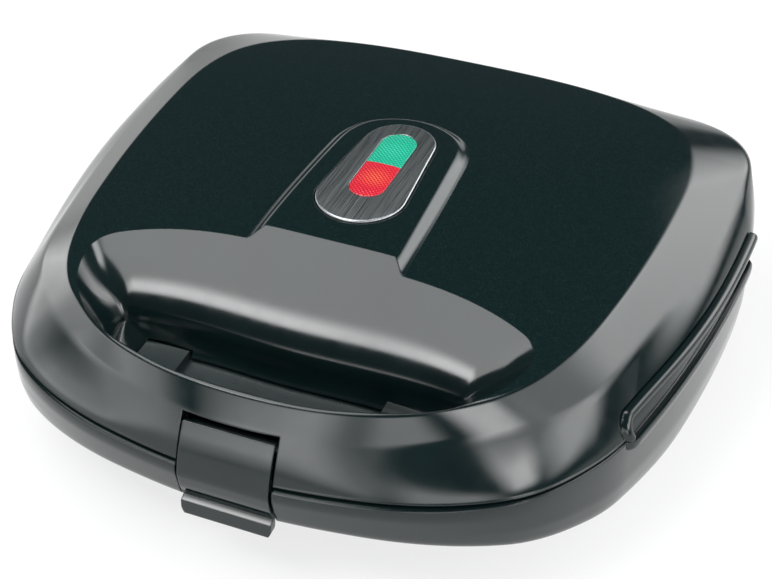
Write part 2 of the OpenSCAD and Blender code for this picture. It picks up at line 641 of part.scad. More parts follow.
module base_bosses() {
    at_lower_plate() plate_posts(60);
    hinge_boss(0, lower_foot_z + 6);
    for (f = feet_at) translate([f[0], f[1], 0]) cylinder(r = foot_r + 1, h = floor_at(f[1]) + 5);
    translate([-cut_w / 2 - wall, front_y - 5, 0])
        cube([cut_w + 2 * wall, catch_y + wall - front_y + 5, base_z - deck_t - 0.1]);
    translate([0, rear_y - wall - 1.5, gland_z]) rotate([-90, 0, 0])
        cylinder(r = gland_neck_r + 4, h = wall + 3);
}
module base_shell() {
    color("#1d2224") difference() {
        union() {
            difference() {
                base_block();
                difference() {
                    base_cavity();
                    base_bosses();
                }
            }
            side_flange();
        }
        // Latch pocket, but for the catch that the hook slips under
        difference() {
            latch_cut(base_z + 1, 0, catch_y);
            translate([-12, catch_front_y, catch_z]) cube([24, 5, 3]);
        }
        at_lower_plate() for (y = [-1, 1]) translate([0, y * post_y, -rim_t - 8])
            cylinder(r = screw_r + 0.05, h = 9);
        hinge_boss_holes(lower_foot_z);
        // Ways for the ears and the knuckles through the rear wall
        mirrored() for (dx = [-1, 1]) translate([hinge_x + dx * ear_x, 0, 0]) across(ear_t + 2 * fit_gap)
            translate([arm_in_y, hinge_z - 12.4]) square([40, 30]);
        mirrored() translate([hinge_x, hinge_y, hinge_z]) rotate([0, 90, 0])
            cylinder(r = barrel_r + 0.5, h = knuckle_w + 2 * ear_gap + 1, center = true);
        // Cord outlet
        translate([0, rear_y - 20, gland_z]) rotate([-90, 0, 0]) cylinder(r = gland_neck_r + 0.05, h = 40);
        // Sockets of the feet
        for (f = feet_at) translate([f[0], f[1], -1]) cylinder(r = foot_r - 2.95, h = floor_at(f[1]) + 4.5);
        for (f = feet_at) translate([f[0], f[1], -1]) cylinder(r = foot_r + 0.6, h = floor_at(f[1]) + 1.8);
        // Vents in the floor
        for (x = [-5 : 5]) translate([x * 12, plate_y + 22, -1]) linear_extrude(12) round_rect(3, 34, 1.4);
    }
}
// Frame round the lower plate; it closes the handle from above and forms the recess floor
module deck_outline(line) {
    polygon(inset(line, wall + fit_gap));
}
pad_x = scoop_half_w - 20;
module pads(grow) {
    mirrored() translate([pad_x - grow, scoop_rear_y - 9, 0])
        square([scoop_half_w - 4.5 - pad_x + grow, 9 + 2.2 + grow]);
}
module base_deck() {
    color("#262c2e") difference() {
        union() {
            translate([0, 0, base_z - deck_t]) linear_extrude(deck_t) deck_outline(seam_line);
            translate([0, 0, base_z - eps]) linear_extrude(step_h) pads(0);
        }
        translate([0, plate_y, base_z - deck_t - 1]) linear_extrude(deck_t + 2)
            round_rect(plate_w + 2 * fit_gap, plate_d + 2 * fit_gap, plate_corner + fit_gap);
        latch_cut(base_z + 1, base_z - 10, catch_y + wall);
        mirrored() for (dx = [-1, 1]) translate([hinge_x + dx * ear_x, 0, 0]) across(ear_t + 2 * fit_gap)
            translate([hinge_y - barrel_r - 0.5, hinge_z - 12]) square([20, 30]);
        mirrored() translate([hinge_x, hinge_y, hinge_z]) rotate([0, 90, 0])
            cylinder(r = barrel_r + 0.5, h = knuckle_w + 2 * ear_gap + 1, center = true);
    }
}
module rubber_feet() {
    color("#15181a") for (f = feet_at) translate([f[0], f[1], 0]) {
        top = floor_at(f[1]) + 0.6;
        rotate_extrude() polygon([[0, 0], [foot_r - 0.8, 0], [foot_r, 0.8], [foot_r, top], [0, top]]);
        cylinder(r = foot_r - 3, h = top + 2.8);
    }
}
module cord_bush() {
    color("#101213") translate([0, rear_y - gland_l + 2.3, gland_z]) rotate([-90, 0, 0]) difference() {
        union() {
            cylinder(r = gland_neck_r, h = gland_l);
            translate([0, 0, gland_l - 2])
                cylinder(r1 = gland_neck_r + 1.8, r2 = gland_neck_r + 0.8, h = 2);
        }
        translate([0, 0, -1]) cylinder(r = cord_bore_r, h = gland_l + 2);
    }
}
module lower_plate() {
    color("#2b2c2d") at_lower_plate() plate();
}
module lower_heating_element() {
    color("#8d8a83") at_lower_plate() heating_loop();
}
module lower_element_clips() {
    color("#b9bcbd") at_lower_plate() clips();
}
module lower_plate_screws() {
    color("#c4c6c8") at_lower_plate() plate_screws();
}
module base_heat_shield() {
    color("#c9ccce") at_lower_plate() heat_shield();
}
block_w = 34;
block_d = 16;
block_h = 12;
block_y = rear_y - 36;
module terminal_block() {
    color("#e6e2d6") difference() {
        translate([-block_w / 2, block_y - block_d / 2, floor_z + wall + 0.05])
            cube([block_w, block_d, block_h]);
        for (x = [-1 : 1]) translate([x * 10, block_y, floor_z + wall + 4]) cylinder(r = 2.4, h = block_h);
        for (x = [-1 : 1]) translate([x * 10, block_y - block_d, floor_z + wall + 5.5]) rotate([-90, 0, 0])
            cylinder(r = 1.6, h = 2 * block_d);
    }
}
wire_r = 1.3;
module base_wiring() {
    zt = floor_z + wall + 5.5;
    block_front = block_y - block_d / 2;
    block_rear = block_y + block_d / 2;
    color("#b23b2e") {
        mirrored() wire(lead([tube_end_x - 9.15, plate_y + tube_y, base_z + tube_z], [-2, 0, 0],
            [-4, 10, 0], [0, 12, 0], [10, block_front + 3, zt]), wire_r);
        wire(lead([10, block_rear - 3, zt], [0, 4.5, 0], [0, 10, 0], [14, 0, 6],
            [hinge_x - 22, rear_y - 12, hinge_z - 9]), wire_r);
        wire(lead([0, block_rear - 3, zt], [0, 4.5, 0], [0, 4, 0], [0, 5, 0],
            [0, rear_y - gland_l + 1.8, gland_z]), wire_r);
    }
}
module base_hinge_brackets() {
    color("#23282a") mirrored() translate([hinge_x, 0, 0]) difference() {
        union() {
            for (dx = [-1, 1]) translate([dx * ear_x, 0, 0]) across(ear_t) arm_profile(-1);
            translate([-ear_x - ear_t / 2, arm_in_y, lower_foot_z - 5])
                cube([2 * ear_x + ear_t, arm_foot_t, 18.8]);
        }
        hinge_bore(hinge_pin_r + 0.02);
        for (dx = [-1, 1]) translate([dx * 5, arm_in_y - 1, lower_foot_z]) rotate([-90, 0, 0])
            cylinder(r = 1.5, h = arm_foot_t + 2);
    }
}
module base_hinge_screws() {
    color("#c4c6c8") hinge_screws(lower_foot_z);
}
module hinge_pins() {
    color("#d0d2d4") mirrored() translate([hinge_x, hinge_y, hinge_z]) rotate([0, 90, 0])
        cylinder(r = hinge_pin_r, h = 2 * ear_x + ear_t + 0.2, center = true);
}

// ================= Lid =================
// Gussets round a post where it meets the ceiling of the lid
gusset_t = 1.6;
module post_gussets(foot, height) {
    for (y = [-1, 1], a = [45 : 90 : 315]) translate([0, y * post_y, -foot]) rotate(a) hull() {
        translate([post_r, -gusset_t / 2, 0]) cube([1.5, gusset_t, eps]);
        translate([post_r, -gusset_t / 2, -height]) cube([7, gusset_t, eps]);
    }
}
module lid_bosses() {
    scoop_block(wall);
    at_upper_plate() {
        plate_posts(60);
        post_gussets(shield_depth + shield_t + 0.5, 16);
    }
    hinge_boss(upper_foot_z - 4, 90);
    mirrored() for (dy = [-1, 1])
        translate([board_w / 2 - 3, board_y + dy * (board_l / 2 - 3), board_z + board_t + 0.05])
            cylinder(r = board_post_r, h = 30);
}
module lid_shell() {
    color("#22282a") difference() {
        union() {
            difference() {
                lid_block();
                difference() {
                    lid_cavity();
                    lid_bosses();
                }
            }
            plateau_block();
            rail();
        }
        scoop_block(0);
        // Seat of the bezel and window of the lenses
        translate([0, bezel_y, bezel_seat_z]) linear_extrude(20)
            taper_pill(bezel_front_r + 0.5, bezel_rear_r + 0.5, bezel_span);
        translate([0, lens_y, lens_foot_z]) linear_extrude(20) straight_pill(lens_r + fit_gap, lens_span);
        translate([0, lens_y, ceiling_z - 4]) linear_extrude(4)
            straight_pill(lens_r + lens_flange + fit_gap, lens_span);
        at_upper_plate() for (y = [-1, 1]) translate([0, y * post_y, -rim_t - 8])
            cylinder(r = screw_r + 0.05, h = 9);
        // Cut-out of the latch
        latch_cut(parting_z + 15.5, lid_z - 1, pivot_y + latch_barrel_r + 0.4);
        // The steps of the base deck fit under the foot of the recess
        translate([0, 0, lid_z - 2]) linear_extrude(step_h + 2) pads(0.8);
        hinge_boss_holes(upper_foot_z);
        mirrored() translate([hinge_x, 0, 0]) across(knuckle_w + 2 * fit_gap)
            translate([arm_in_y, lid_z - 5]) square([40, 12.4 + 5]);
        mirrored() for (dx = [-1, 1]) translate([hinge_x + dx * ear_x, hinge_y, hinge_z]) rotate([0, 90, 0])
            cylinder(r = barrel_r + 0.5, h = ear_t + 2 * ear_gap + 0.2, center = true);
    }
}
module lid_deck() {
    color("#262c2e") difference() {
        translate([0, 0, lid_z]) linear_extrude(deck_t) deck_outline(seam_line);
        translate([0, plate_y, lid_z - 1]) linear_extrude(deck_t + 2)
            round_rect(plate_w + 2 * fit_gap, plate_d + 2 * fit_gap, plate_corner + fit_gap);
        translate([0, 0, lid_z - 1]) linear_extrude(deck_t + 2)
            polygon(whole(scoop_keys(flare[1][0] + 2.7, 1, wall + fit_gap), 5));
        translate([0, 0, lid_z - 1]) linear_extrude(deck_t + 2) pads(2);
        latch_cut(lid_z + 10, lid_z - 1, pivot_y + latch_barrel_r + 0.6);
        mirrored() translate([hinge_x, 0, 0]) across(knuckle_w + 2 * fit_gap)
            translate([hinge_y - barrel_r - 0.5, lid_z - 5]) square([20, 20]);
        mirrored() for (dx = [-1, 1]) translate([hinge_x + dx * ear_x, hinge_y, hinge_z]) rotate([0, 90, 0])
            cylinder(r = barrel_r + 0.5, h = ear_t + 2 * ear_gap + 0.2, center = true);
    }
}
module upper_plate() {
    color("#2b2c2d") at_upper_plate() plate();
}
module upper_heating_element() {
    color("#8d8a83") at_upper_plate() heating_loop();
}
module upper_element_clips() {
    color("#b9bcbd") at_upper_plate() clips();
}
module upper_plate_screws() {
    color("#c4c6c8") at_upper_plate() plate_screws();
}
module lid_heat_shield() {
    color("#c9ccce") at_upper_plate() heat_shield();
}
// Bimetal thermostat on the back of the upper plate, between the two sandwiches
module thermostat() {
    color("#e9e4da") at_upper_plate() translate([0, 0, -rim_t - 0.05]) {
        translate([-3, -10, -3]) cube([6, 20, 3]);
        translate([0, 0, -9]) cylinder(r = 5, h = 6);
        translate([-0.9, -12, -8]) cube([1.8, 24, 1.6]);
    }
}
// Cut-out that lies in a clip on the lid's heat shield
module thermal_fuse() {
    z = -shield_depth - shield_t - 0.05;
    color("#d8c9a3") at_upper_plate() translate([30, 16, z - 2.5]) {
        rotate([0, 90, 0]) cylinder(r = 2.5, h = 16);
        translate([-8, 0, 0]) rotate([0, 90, 0]) cylinder(r = 0.5, h = 32);
        translate([5, -4, 1.5]) cube([6, 8, 1]);
    }
}
// The board stays clear of the plate's posts and their gussets
module lamp_board() {
    color("#3c6b45") difference() {
        translate([0, board_y, board_z]) linear_extrude(board_t) round_rect(board_w, board_l, 2);
        for (dy = [-1, 1], dx = [-1.3, 1.3]) translate([dx, board_y + dy * lens_span / 4, board_z - 1])
            cylinder(r = 0.4, h = board_t + 2);
        for (y = [-1, 1]) translate([0, plate_y + y * post_y, board_z - 1])
            cylinder(r = post_r + board_clear, h = board_t + 2);
    }
}
// A lamp with a round head on two leads
module lamp() {
    for (dx = [-1.3, 1.3]) translate([dx, 0, -1]) cylinder(r = 0.3, h = board_t + 3);
    translate([0, 0, board_t + 0.8]) cylinder(r = 2.9, h = 1);
    translate([0, 0, board_t + 1.8]) cylinder(r = 2.5, h = 3.5);
    translate([0, 0, board_t + 5.3]) sphere(2.5);
}
module power_lamp() {
    color("#ff5a3c") translate([0, board_y - lens_span / 4, board_z]) lamp();
}
module ready_lamp() {
    color("#5fd98a") translate([0, board_y + lens_span / 4, board_z]) lamp();
}
module indicator_bezel() {
    color("#b5b7b9") translate([0, bezel_y, bezel_seat_z + 0.05]) difference() {
        hull() {
            linear_extrude(bezel_t - 0.5) taper_pill(bezel_front_r, bezel_rear_r, bezel_span);
            linear_extrude(bezel_t) taper_pill(bezel_front_r - 0.7, bezel_rear_r - 0.7, bezel_span);
        }
        translate([0, lens_y - bezel_y, -1]) linear_extrude(bezel_t + 2)
            straight_pill(lens_r + 0.15, lens_span);
    }
}
// Half of the lens window: +1 is the rear half, -1 the front one. A hollow block with a
// flange that holds it from below and a crowned top
module lens_half(side) {
    mid_y = lens_y + lens_span / 2;
    long = lens_span + 2 * lens_r + 10;
    difference() {
        intersection() {
            union() {
                translate([0, lens_y, lens_foot_z]) linear_extrude(lens_top_z - lens_foot_z)
                    straight_pill(lens_r, lens_span);
                translate([0, lens_y, lens_foot_z]) linear_extrude(lens_flange)
                    straight_pill(lens_r + lens_flange, lens_span);
            }
            translate([0, mid_y, lens_top_z - 30]) rotate([90, 0, 0])
                cylinder(r = 30, h = 80, center = true, $fn = 128);
            translate([-20, side > 0 ? mid_y + 0.05 : mid_y - 0.05 - long, 0]) cube([40, long, 200]);
        }
        translate([0, lens_y, lens_foot_z - 1]) linear_extrude(lens_top_z - lens_foot_z - 1.2)
            straight_pill(lens_r - 1.4, lens_span);
    }
}
module red_lens() {
    color("#d3263a") lens_half(-1);
}
module green_lens() {
    color("#1fa06f") lens_half(1);
}
module lid_wiring() {
    color("#b23b2e") {
        mirrored() wire(lead([tube_end_x - 9.15, plate_y + tube_y, lid_z - tube_z], [-2, 0, 0],
            [-4, 10, 0], [14, 6, -2], [hinge_x - 20, rear_y - 26, hinge_z + 8]), wire_r);
        wire(lead([hinge_x - 26, rear_y - 26, hinge_z + 14], [-1, -2, 1], [-12, -20, 10], [-4, -16, 0],
            [8, board_y + board_l / 2 - 4, board_z - wire_r - 0.1]), wire_r);
    }
}
module lid_hinge_arms() {
    color("#23282a") mirrored() translate([hinge_x, 0, 0]) difference() {
        union() {
            across(knuckle_w) arm_profile(1);
            translate([-knuckle_w / 2, arm_in_y, upper_foot_z - 4]) cube([knuckle_w, arm_foot_t, 10]);
        }
        hinge_bore(hinge_pin_r + run_gap);
        for (dx = [-1, 1]) translate([dx * 5, arm_in_y - 1, upper_foot_z]) rotate([-90, 0, 0])
            cylinder(r = 1.5, h = 60);
        for (dx = [-1, 1]) translate([dx * 5, arm_in_y + arm_foot_t, upper_foot_z]) rotate([-90, 0, 0])
            cylinder(r = 2.65, h = 60);
    }
}
module lid_hinge_screws() {
    color("#c4c6c8") hinge_screws(upper_foot_z);
}
// Two blocks inside the ring handle that carry the latch pin
bearing_w = 3.2;
module latch_bearings() {
    color("#1a1e20") mirrored() translate([cut_w / 2 + 0.4 + bearing_w / 2, 0, 0])
        across(bearing_w) difference() {
        polygon([[pivot_y - 2.7, pivot_z - 4], [pivot_y - 1.5, pivot_z], [pivot_y - 0.1, pivot_z + 2.6],
            [pivot_y + 2, pivot_z + 2.6], [pivot_y + 2.2, pivot_z - 4]]);
        translate([pivot_y, pivot_z]) circle(latch_pin_r + 0.02);
    }
}
module latch_pin() {
    color("#d0d2d4") translate([0, pivot_y, pivot_z]) rotate([0, 90, 0])
        cylinder(r = latch_pin_r, h = cut_w + 2 * bearing_w + 0.4, center = true);
}

// ================= Latch =================
lip_corner = 4.5;
module latch() {
    top = parting_z + 14;
    low = parting_z - 22;
    color("#23292b") difference() {
        union() {
            // The section along its width, with rounded lower corners as seen from the front
            intersection() {
                across(latch_w) latch_section();
                translate([0, front_y + 40, 0]) rotate([90, 0, 0]) linear_extrude(80) {
                    translate([0, (top + low) / 2]) round_rect(latch_w, top - low, lip_corner);
                    translate([-latch_w / 2, low + 12]) square([latch_w, top - low - 12]);
                }
            }
            translate([0, pivot_y, pivot_z]) rotate([0, 90, 0])
                cylinder(r = latch_barrel_r, h = latch_w - 1, center = true);
            // Web between the barrel and the plate
            across(latch_w - 1) polygon([[pivot_y - 5.5, pivot_z - 3.2], [pivot_y, pivot_z - latch_barrel_r],
                [pivot_y, pivot_z], [pivot_y - 4.5, pivot_z + 1.5]]);
            // Hook under the catch of the base
            translate([-11.5, front_y + 1.2, hook_z]) cube([23, hook_tip_y - front_y - 1.2, hook_h]);
        }
        translate([0, pivot_y, pivot_z]) rotate([0, 90, 0])
            cylinder(r = latch_pin_r + run_gap, h = latch_w + 2, center = true);
    }
}

base_shell();
base_deck();
rubber_feet();
cord_bush();
lower_plate();
lower_heating_element();
lower_element_clips();
lower_plate_screws();
base_heat_shield();
terminal_block();
base_wiring();
base_hinge_brackets();
base_hinge_screws();
hinge_pins();
lid_shell();
lid_deck();
upper_plate();
upper_heating_element();
upper_element_clips();
upper_plate_screws();
lid_heat_shield();
thermostat();
thermal_fuse();
lamp_board();
power_lamp();
ready_lamp();
indicator_bezel();
red_lens();
green_lens();
lid_wiring();
lid_hinge_arms();
lid_hinge_screws();
latch_bearings();
latch_pin();
latch();
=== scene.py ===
"""The dressed sandwich toaster: the housing, plates, latch and indicator as fine meshes round the
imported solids, materials for every piece, plain studio light and the photograph's camera.
Shapes are worked out in millimetres and turned into metres when a mesh is made."""
from math import asin, atan2, cos, hypot, pi, radians, sin, sqrt, tan

import bpy
import bmesh
from mathutils import Vector, Matrix


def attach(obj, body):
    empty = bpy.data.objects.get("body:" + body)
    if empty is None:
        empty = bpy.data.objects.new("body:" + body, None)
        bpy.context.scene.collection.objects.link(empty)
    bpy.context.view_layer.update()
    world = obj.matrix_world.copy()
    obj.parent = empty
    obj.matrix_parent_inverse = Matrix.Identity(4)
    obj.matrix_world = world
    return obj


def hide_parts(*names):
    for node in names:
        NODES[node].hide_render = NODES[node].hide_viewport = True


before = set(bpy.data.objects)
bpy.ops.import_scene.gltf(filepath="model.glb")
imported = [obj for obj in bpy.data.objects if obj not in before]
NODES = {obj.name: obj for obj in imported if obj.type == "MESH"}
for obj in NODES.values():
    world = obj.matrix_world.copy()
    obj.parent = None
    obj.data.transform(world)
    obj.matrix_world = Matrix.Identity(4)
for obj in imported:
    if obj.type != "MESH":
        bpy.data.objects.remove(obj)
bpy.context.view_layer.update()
MM = 0.001

# ---------------------------------------------------------------- sizes, as in the CAD source
BODY_W, BODY_D = 244.8, 238.5
SEAM_GAP, FIT_GAP, WALL = 0.8, 0.3, 2.4
LATCH_PROUD = 1.0
HINGE_R, HINGE_OFFSET = 6.0, 0.3
HW = BODY_W / 2
FRONT = -(LATCH_PROUD + BODY_D + HINGE_OFFSET + HINGE_R) / 2 + LATCH_PROUD
REAR = FRONT + BODY_D
PARTING, CREASE_H, PANEL_H = 42.0, 16.0, 24.0
LID_Z, BASE_Z = PARTING + SEAM_GAP / 2, PARTING - SEAM_GAP / 2
CREASE_Z, PANEL_Z = PARTING + CREASE_H, PARTING + PANEL_H
DOME_RISE, PLATEAU_H = 8.0, 2.7
FAR = 200.0  # how far a cutting tool reaches where it only has to pass the part
OVERLAP = 0.01  # by which two bodies that are joined or cut overlap

# ---------------------------------------------------------------- fineness and shading
FINE = 20  # steps in each span of a housing outline
SHARP = 30  # degrees: edges that turn by more stay sharp
RIM_SHARP = 18  # the same on the lid, whose recess has a rim that is less sharp in places
PLATE_SHARP = 28  # the same on the plates
MIN_TURN = 0.5  # degrees, so that a straight span doesn't divide by nothing


# ---------------------------------------------------------------- curves
def mix(a, b, t):
    """From a, at t = 0, to b, at t = 1."""
    return a + (b - a) * t


def mix_points(a, b, t):
    return [tuple(mix(u, v, t) for u, v in zip(p, q)) for p, q in zip(a, b)]


def smooth(t):
    """From 0 to 1 with a soft start and end."""
    u = min(max(t, 0), 1)
    return u * u * (3 - 2 * u)


def bezier(p, q, w, s, t):
    """A point on the cubic from p to s with the handles q and w."""
    k = ((1 - t) ** 3, 3 * (1 - t) ** 2 * t, 3 * (1 - t) * t * t, t ** 3)
    return tuple(k[0] * a + k[1] * b + k[2] * c + k[3] * d for a, b, c, d in zip(p, q, w, s))


def on_span(a, b, t):
    """A span between two keys [x, y, heading in degrees], an arc where it can be one."""
    turn = max(abs(b[2] - a[2]), MIN_TURN)
    chord = hypot(b[0] - a[0], b[1] - a[1])
    r = chord * 2 / 3 * tan(radians(turn / 4)) / sin(radians(turn / 2))
    ha, hb = radians(a[2]), radians(b[2])
    return bezier((a[0], a[1]), (a[0] + r * cos(ha), a[1] + r * sin(ha)),
                  (b[0] - r * cos(hb), b[1] - r * sin(hb)), (b[0], b[1]), t)


def half(keys, steps):
    """The points of an outline's right half, without its last one."""
    return [on_span(a, b, k / steps) for a, b in zip(keys, keys[1:]) for k in range(steps)]


def whole(keys, steps=FINE):
    """The right half of an outline, then its mirror image back to the start."""
    h = half(keys, steps)
    return h + [(0.0, keys[-1][1])] + [(-x, y) for x, y in reversed(h[1:])]


def at_z(points, z):
    return [(p[0], p[1], z) for p in points]


def inset(points, d):
    """Moves a closed counter-clockwise outline inwards by d, or by one value for each point."""
    n = len(points)
    out = []
    for i in range(n):
        a, b = points[i - 1], points[(i + 1) % n]
        e = d[i] if isinstance(d, list) else d
        length = hypot(b[0] - a[0], b[1] - a[1])
        tx, ty = (b[0] - a[0]) / length, (b[1] - a[1]) / length
        out.append((points[i][0] - ty * e, points[i][1] + tx * e))
    return out


def scaled(points, centre, s):
    """An outline drawn towards a centre by the factor s."""
    return [(centre[0] + (p[0] - centre[0]) * s, centre[1] + (p[1] - centre[1]) * s) for p in points]


def x_at(points, y):
    """The x of the right half of an outline at a given y."""
    hits = [mix(p[0], q[0], (y - p[1]) / (q[1] - p[1]))
            for p, q in zip(points[:len(points) // 2], points[1:]) if p[1] <= y < q[1]]
    return max(hits, default=0)


# ---------------------------------------------------------------- meshes
def make(name, verts, faces):
    """A smooth mesh object in metres from points in millimetres."""
    mesh = bpy.data.meshes.new(name)
    mesh.from_pydata([(x * MM, y * MM, z * MM) for x, y, z in verts], [], faces)
    mesh.update()
    return shade(linked(bpy.data.objects.new(name, mesh)))


def linked(obj):
    """Puts a new object into the scene."""
    bpy.context.scene.collection.objects.link(obj)
    return obj


def shade(obj, sharp=SHARP):
    """Smooth shading, but for edges that turn by more than sharp degrees."""
    mesh = obj.data
    mesh.polygons.foreach_set("use_smooth", [True] * len(mesh.polygons))
    mesh.set_sharp_from_angle(angle=radians(sharp))
    return obj


def bands(rings):
    """The quads between closed rings of equal length, whose points are numbered in order."""
    n = len(rings[0])
    return [(j * n + i, j * n + (i + 1) % n, (j + 1) * n + (i + 1) % n, (j + 1) * n + i)
            for j in range(len(rings) - 1) for i in range(n)]


def loft(name, rings):
    """A skin over closed rings of equal length, which run counter-clockwise and rise in order."""
    n, top = len(rings[0]), (len(rings) - 1) * len(rings[0])
    verts = [p for ring in rings for p in ring]
    ends = [tuple(reversed(range(n))), tuple(range(top, top + n))]
    return make(name, verts, bands(rings) + ends)


def fan_loft(name, rings):
    """As loft, but each end closes in a fan on its middle point."""
    n, top = len(rings[0]), (len(rings) - 1) * len(rings[0])
    verts = [p for ring in rings for p in ring]
    low, high = len(verts), len(verts) + 1
    verts += [tuple(sum(p[i] for p in ring) / n for i in range(3)) for ring in (rings[0], rings[-1])]
    faces = bands(rings)
    for i in range(n):
        k = (i + 1) % n
        faces += [(low, k, i), (high, top + i, top + k)]
    return make(name, verts, faces)


def prism(name, outline, z0, z1):
    """An outline in the XY plane, from z0 up to z1."""
    return loft(name, [at_z(outline, z0), at_z(outline, z1)])


def box(name, low, high):
    """A block between two opposite corners."""
    (x0, y0, z0), (x1, y1, z1) = low, high
    return prism(name, [(x0, y0), (x1, y0), (x1, y1), (x0, y1)], z0, z1)


def along_x(name, outline, x0, x1):
    """An outline of (y, z) points, counter-clockwise from +X, from x0 to x1."""
    return loft(name, [[(x, y, z) for y, z in outline] for x in (x0, x1)])


def along_y(name, outline, y0, y1):
    """An outline of (x, z) points, counter-clockwise from the front, from y0 to y1."""
    return loft(name, [[(x, y, z) for x, z in outline] for y in (y1, y0)])


def circle(x, y, r, steps=64):
    return [(x + r * cos(2 * pi * i / steps), y + r * sin(2 * pi * i / steps)) for i in range(steps)]


def rod_x(name, x0, x1, y, z, r, steps=64):
    """A round rod along X."""
    return along_x(name, circle(y, z, r, steps), x0, x1)


def round_rect(x, y, w, d, r, steps=8):
    """A rectangle of w by d round a middle point, with corners of radius r."""
    ring = []
    for cx, cy, a in ((1, 1, 0), (-1, 1, 90), (-1, -1, 180), (1, -1, 270)):
        for k in range(steps + 1):
            t = radians(a + 90 * k / steps)
            ring.append((x + cx * (w / 2 - r) + r * cos(t), y + cy * (d / 2 - r) + r * sin(t)))
    return ring


def combine(obj, tools, operation):
    """Applies a boolean with each of the tools to obj, and deletes them."""
    for tool in tools:
        m = obj.modifiers.new("combine", "BOOLEAN")
        m.operation, m.solver, m.object = operation, "EXACT", tool
        settle(obj)
        bpy.data.objects.remove(tool)
    return obj


def settle(obj):
    """Applies an object's modifiers into its mesh."""
    graph = bpy.context.evaluated_depsgraph_get()
    mesh = bpy.data.meshes.new_from_object(obj.evaluated_get(graph))
    obj.modifiers.clear()
    old = obj.data
    obj.data = mesh
    bpy.data.meshes.remove(old)


def mirror_copy(obj, name):
    """A copy of a mesh object on the other side of X = 0."""
    mesh = obj.data.copy()
    mesh.transform(Matrix.Scale(-1, 4, (1, 0, 0)))
    mesh.flip_normals()
    return linked(bpy.data.objects.new(name, mesh))


def pair(obj):
    """An object and its mirror image."""
    return [obj, mirror_copy(obj, obj.name + "_left")]


# ---------------------------------------------------------------- housing outlines
def keyed(*shares):
    """Keys [x, y, heading] from shares of the half width, places along Y and headings."""
    return [(share * HW, y, heading) for share, y, heading in shares]


SEAM_KEYS = keyed((0, FRONT, 0), (0.35, FRONT + 5.1, 12), (0.69, FRONT + 22.8, 35.5),
                  (0.85, FRONT + 48.2, 63), (0.898, FRONT + 64.3, 77), (0.998, REAR - 67.2, 90),
                  (0.972, REAR - 43.2, 101), (0.851, REAR - 15.7, 135), (0.586, REAR - 1.2, 175),
                  (0, REAR, 180))
CREASE_KEYS = keyed((0, FRONT + 6.7, 0), (0.388, FRONT + 15.8, 22), (0.656, FRONT + 36.5, 44),
                    (0.801, FRONT + 61.8, 70), (0.854, FRONT + 92.3, 81), (0.925, REAR - 51.2, 89),
                    (0.928, REAR - 35.2, 94), (0.867, REAR - 18.5, 135), (0.692, REAR - 9.8, 175),
                    (0, REAR - 7.7, 180))
PANEL_KEYS = keyed((0, FRONT + 11.8, 0), (0.376, FRONT + 19.6, 22), (0.573, FRONT + 36.5, 42),
                   (0.694, FRONT + 59.3, 69), (0.753, FRONT + 87.3, 81), (0.802, REAR - 76.2, 90),
                   (0.761, REAR - 44.2, 113), (0.651, REAR - 28.2, 146), (0.494, REAR - 19.6, 166),
                   (0, REAR - 14.5, 180))
SEAM, CREASE, PANEL = whole(SEAM_KEYS), whole(CREASE_KEYS), whole(PANEL_KEYS)
DOME_MID = (0.0, (PANEL_KEYS[0][1] + PANEL_KEYS[-1][1]) / 2)


# ---------------------------------------------------------------- dome
def dome_height(s):
    """The dome's height where it is the share s of the way out to the panel's edge."""
    return PANEL_Z + DOME_RISE * (1 - s * s)


PANEL_POLAR = sorted((atan2(abs(x), y - DOME_MID[1]), hypot(x, y - DOME_MID[1])) for x, y in PANEL
                     if x >= 0)


def panel_reach(x, y):
    """How far the panel's edge is from the middle of the dome, in the direction of a point."""
    a = atan2(abs(x), y - DOME_MID[1])
    for (a0, r0), (a1, r1) in zip(PANEL_POLAR, PANEL_POLAR[1:]):
        if a0 <= a <= a1:
            return mix(r0, r1, (a - a0) / max(a1 - a0, 1e-9))
    return PANEL_POLAR[-1][1]


def dome_z(x, y):
    return dome_height(hypot(x, y - DOME_MID[1]) / panel_reach(x, y))


def dome_ring(s, drop=0):
    """The panel's edge drawn in to the share s, on the dome or a drop below it."""
    return at_z(scaled(PANEL, DOME_MID, s), dome_height(s) - drop)


# ---------------------------------------------------------------- lid
SEAM_EASE = ((0.7, 0), (0.25, 0.15), (0, 0.7))  # how far inside the seam, and how high above it
CREASE_ROUND = 0.1  # share of side wall and border that rounds the crease
PANEL_ROUND, DOME_START = 0.96, 0.99  # where the rounding of the panel's edge starts and ends
FULL_FRONT, FULL_SIDE = 1.25, 1.1


def fullness(y):
    """The power that the side wall leans in by: late and fast along the sides, nearly evenly in front."""
    return FULL_FRONT + FULL_SIDE * smooth((y - FRONT - 62) / 80) * smooth((REAR - 25 - y) / 40)


def lid_side(t):
    """The ring of the side wall at the share t of the way from the seam up to the crease."""
    ring = []
    for s, c in zip(SEAM, CREASE):
        f = t ** fullness(s[1])
        ring.append((mix(s[0], c[0], f), mix(s[1], c[1], f), mix(LID_Z, CREASE_Z, t)))
    return ring


def lid_border(t):
    """The ring of the border at the share t of the way from the crease to the panel's edge."""
    return mix_points(at_z(CREASE, CREASE_Z), at_z(PANEL, PANEL_Z), t)


def rounded(a, corner, b, steps):
    """Rings round a corner, from ring a to ring b, as a quadratic curve."""
    out = []
    for k in range(1, steps):
        t = k / steps
        out.append(mix_points(mix_points(a, corner, t), mix_points(corner, b, t), t))
    return out


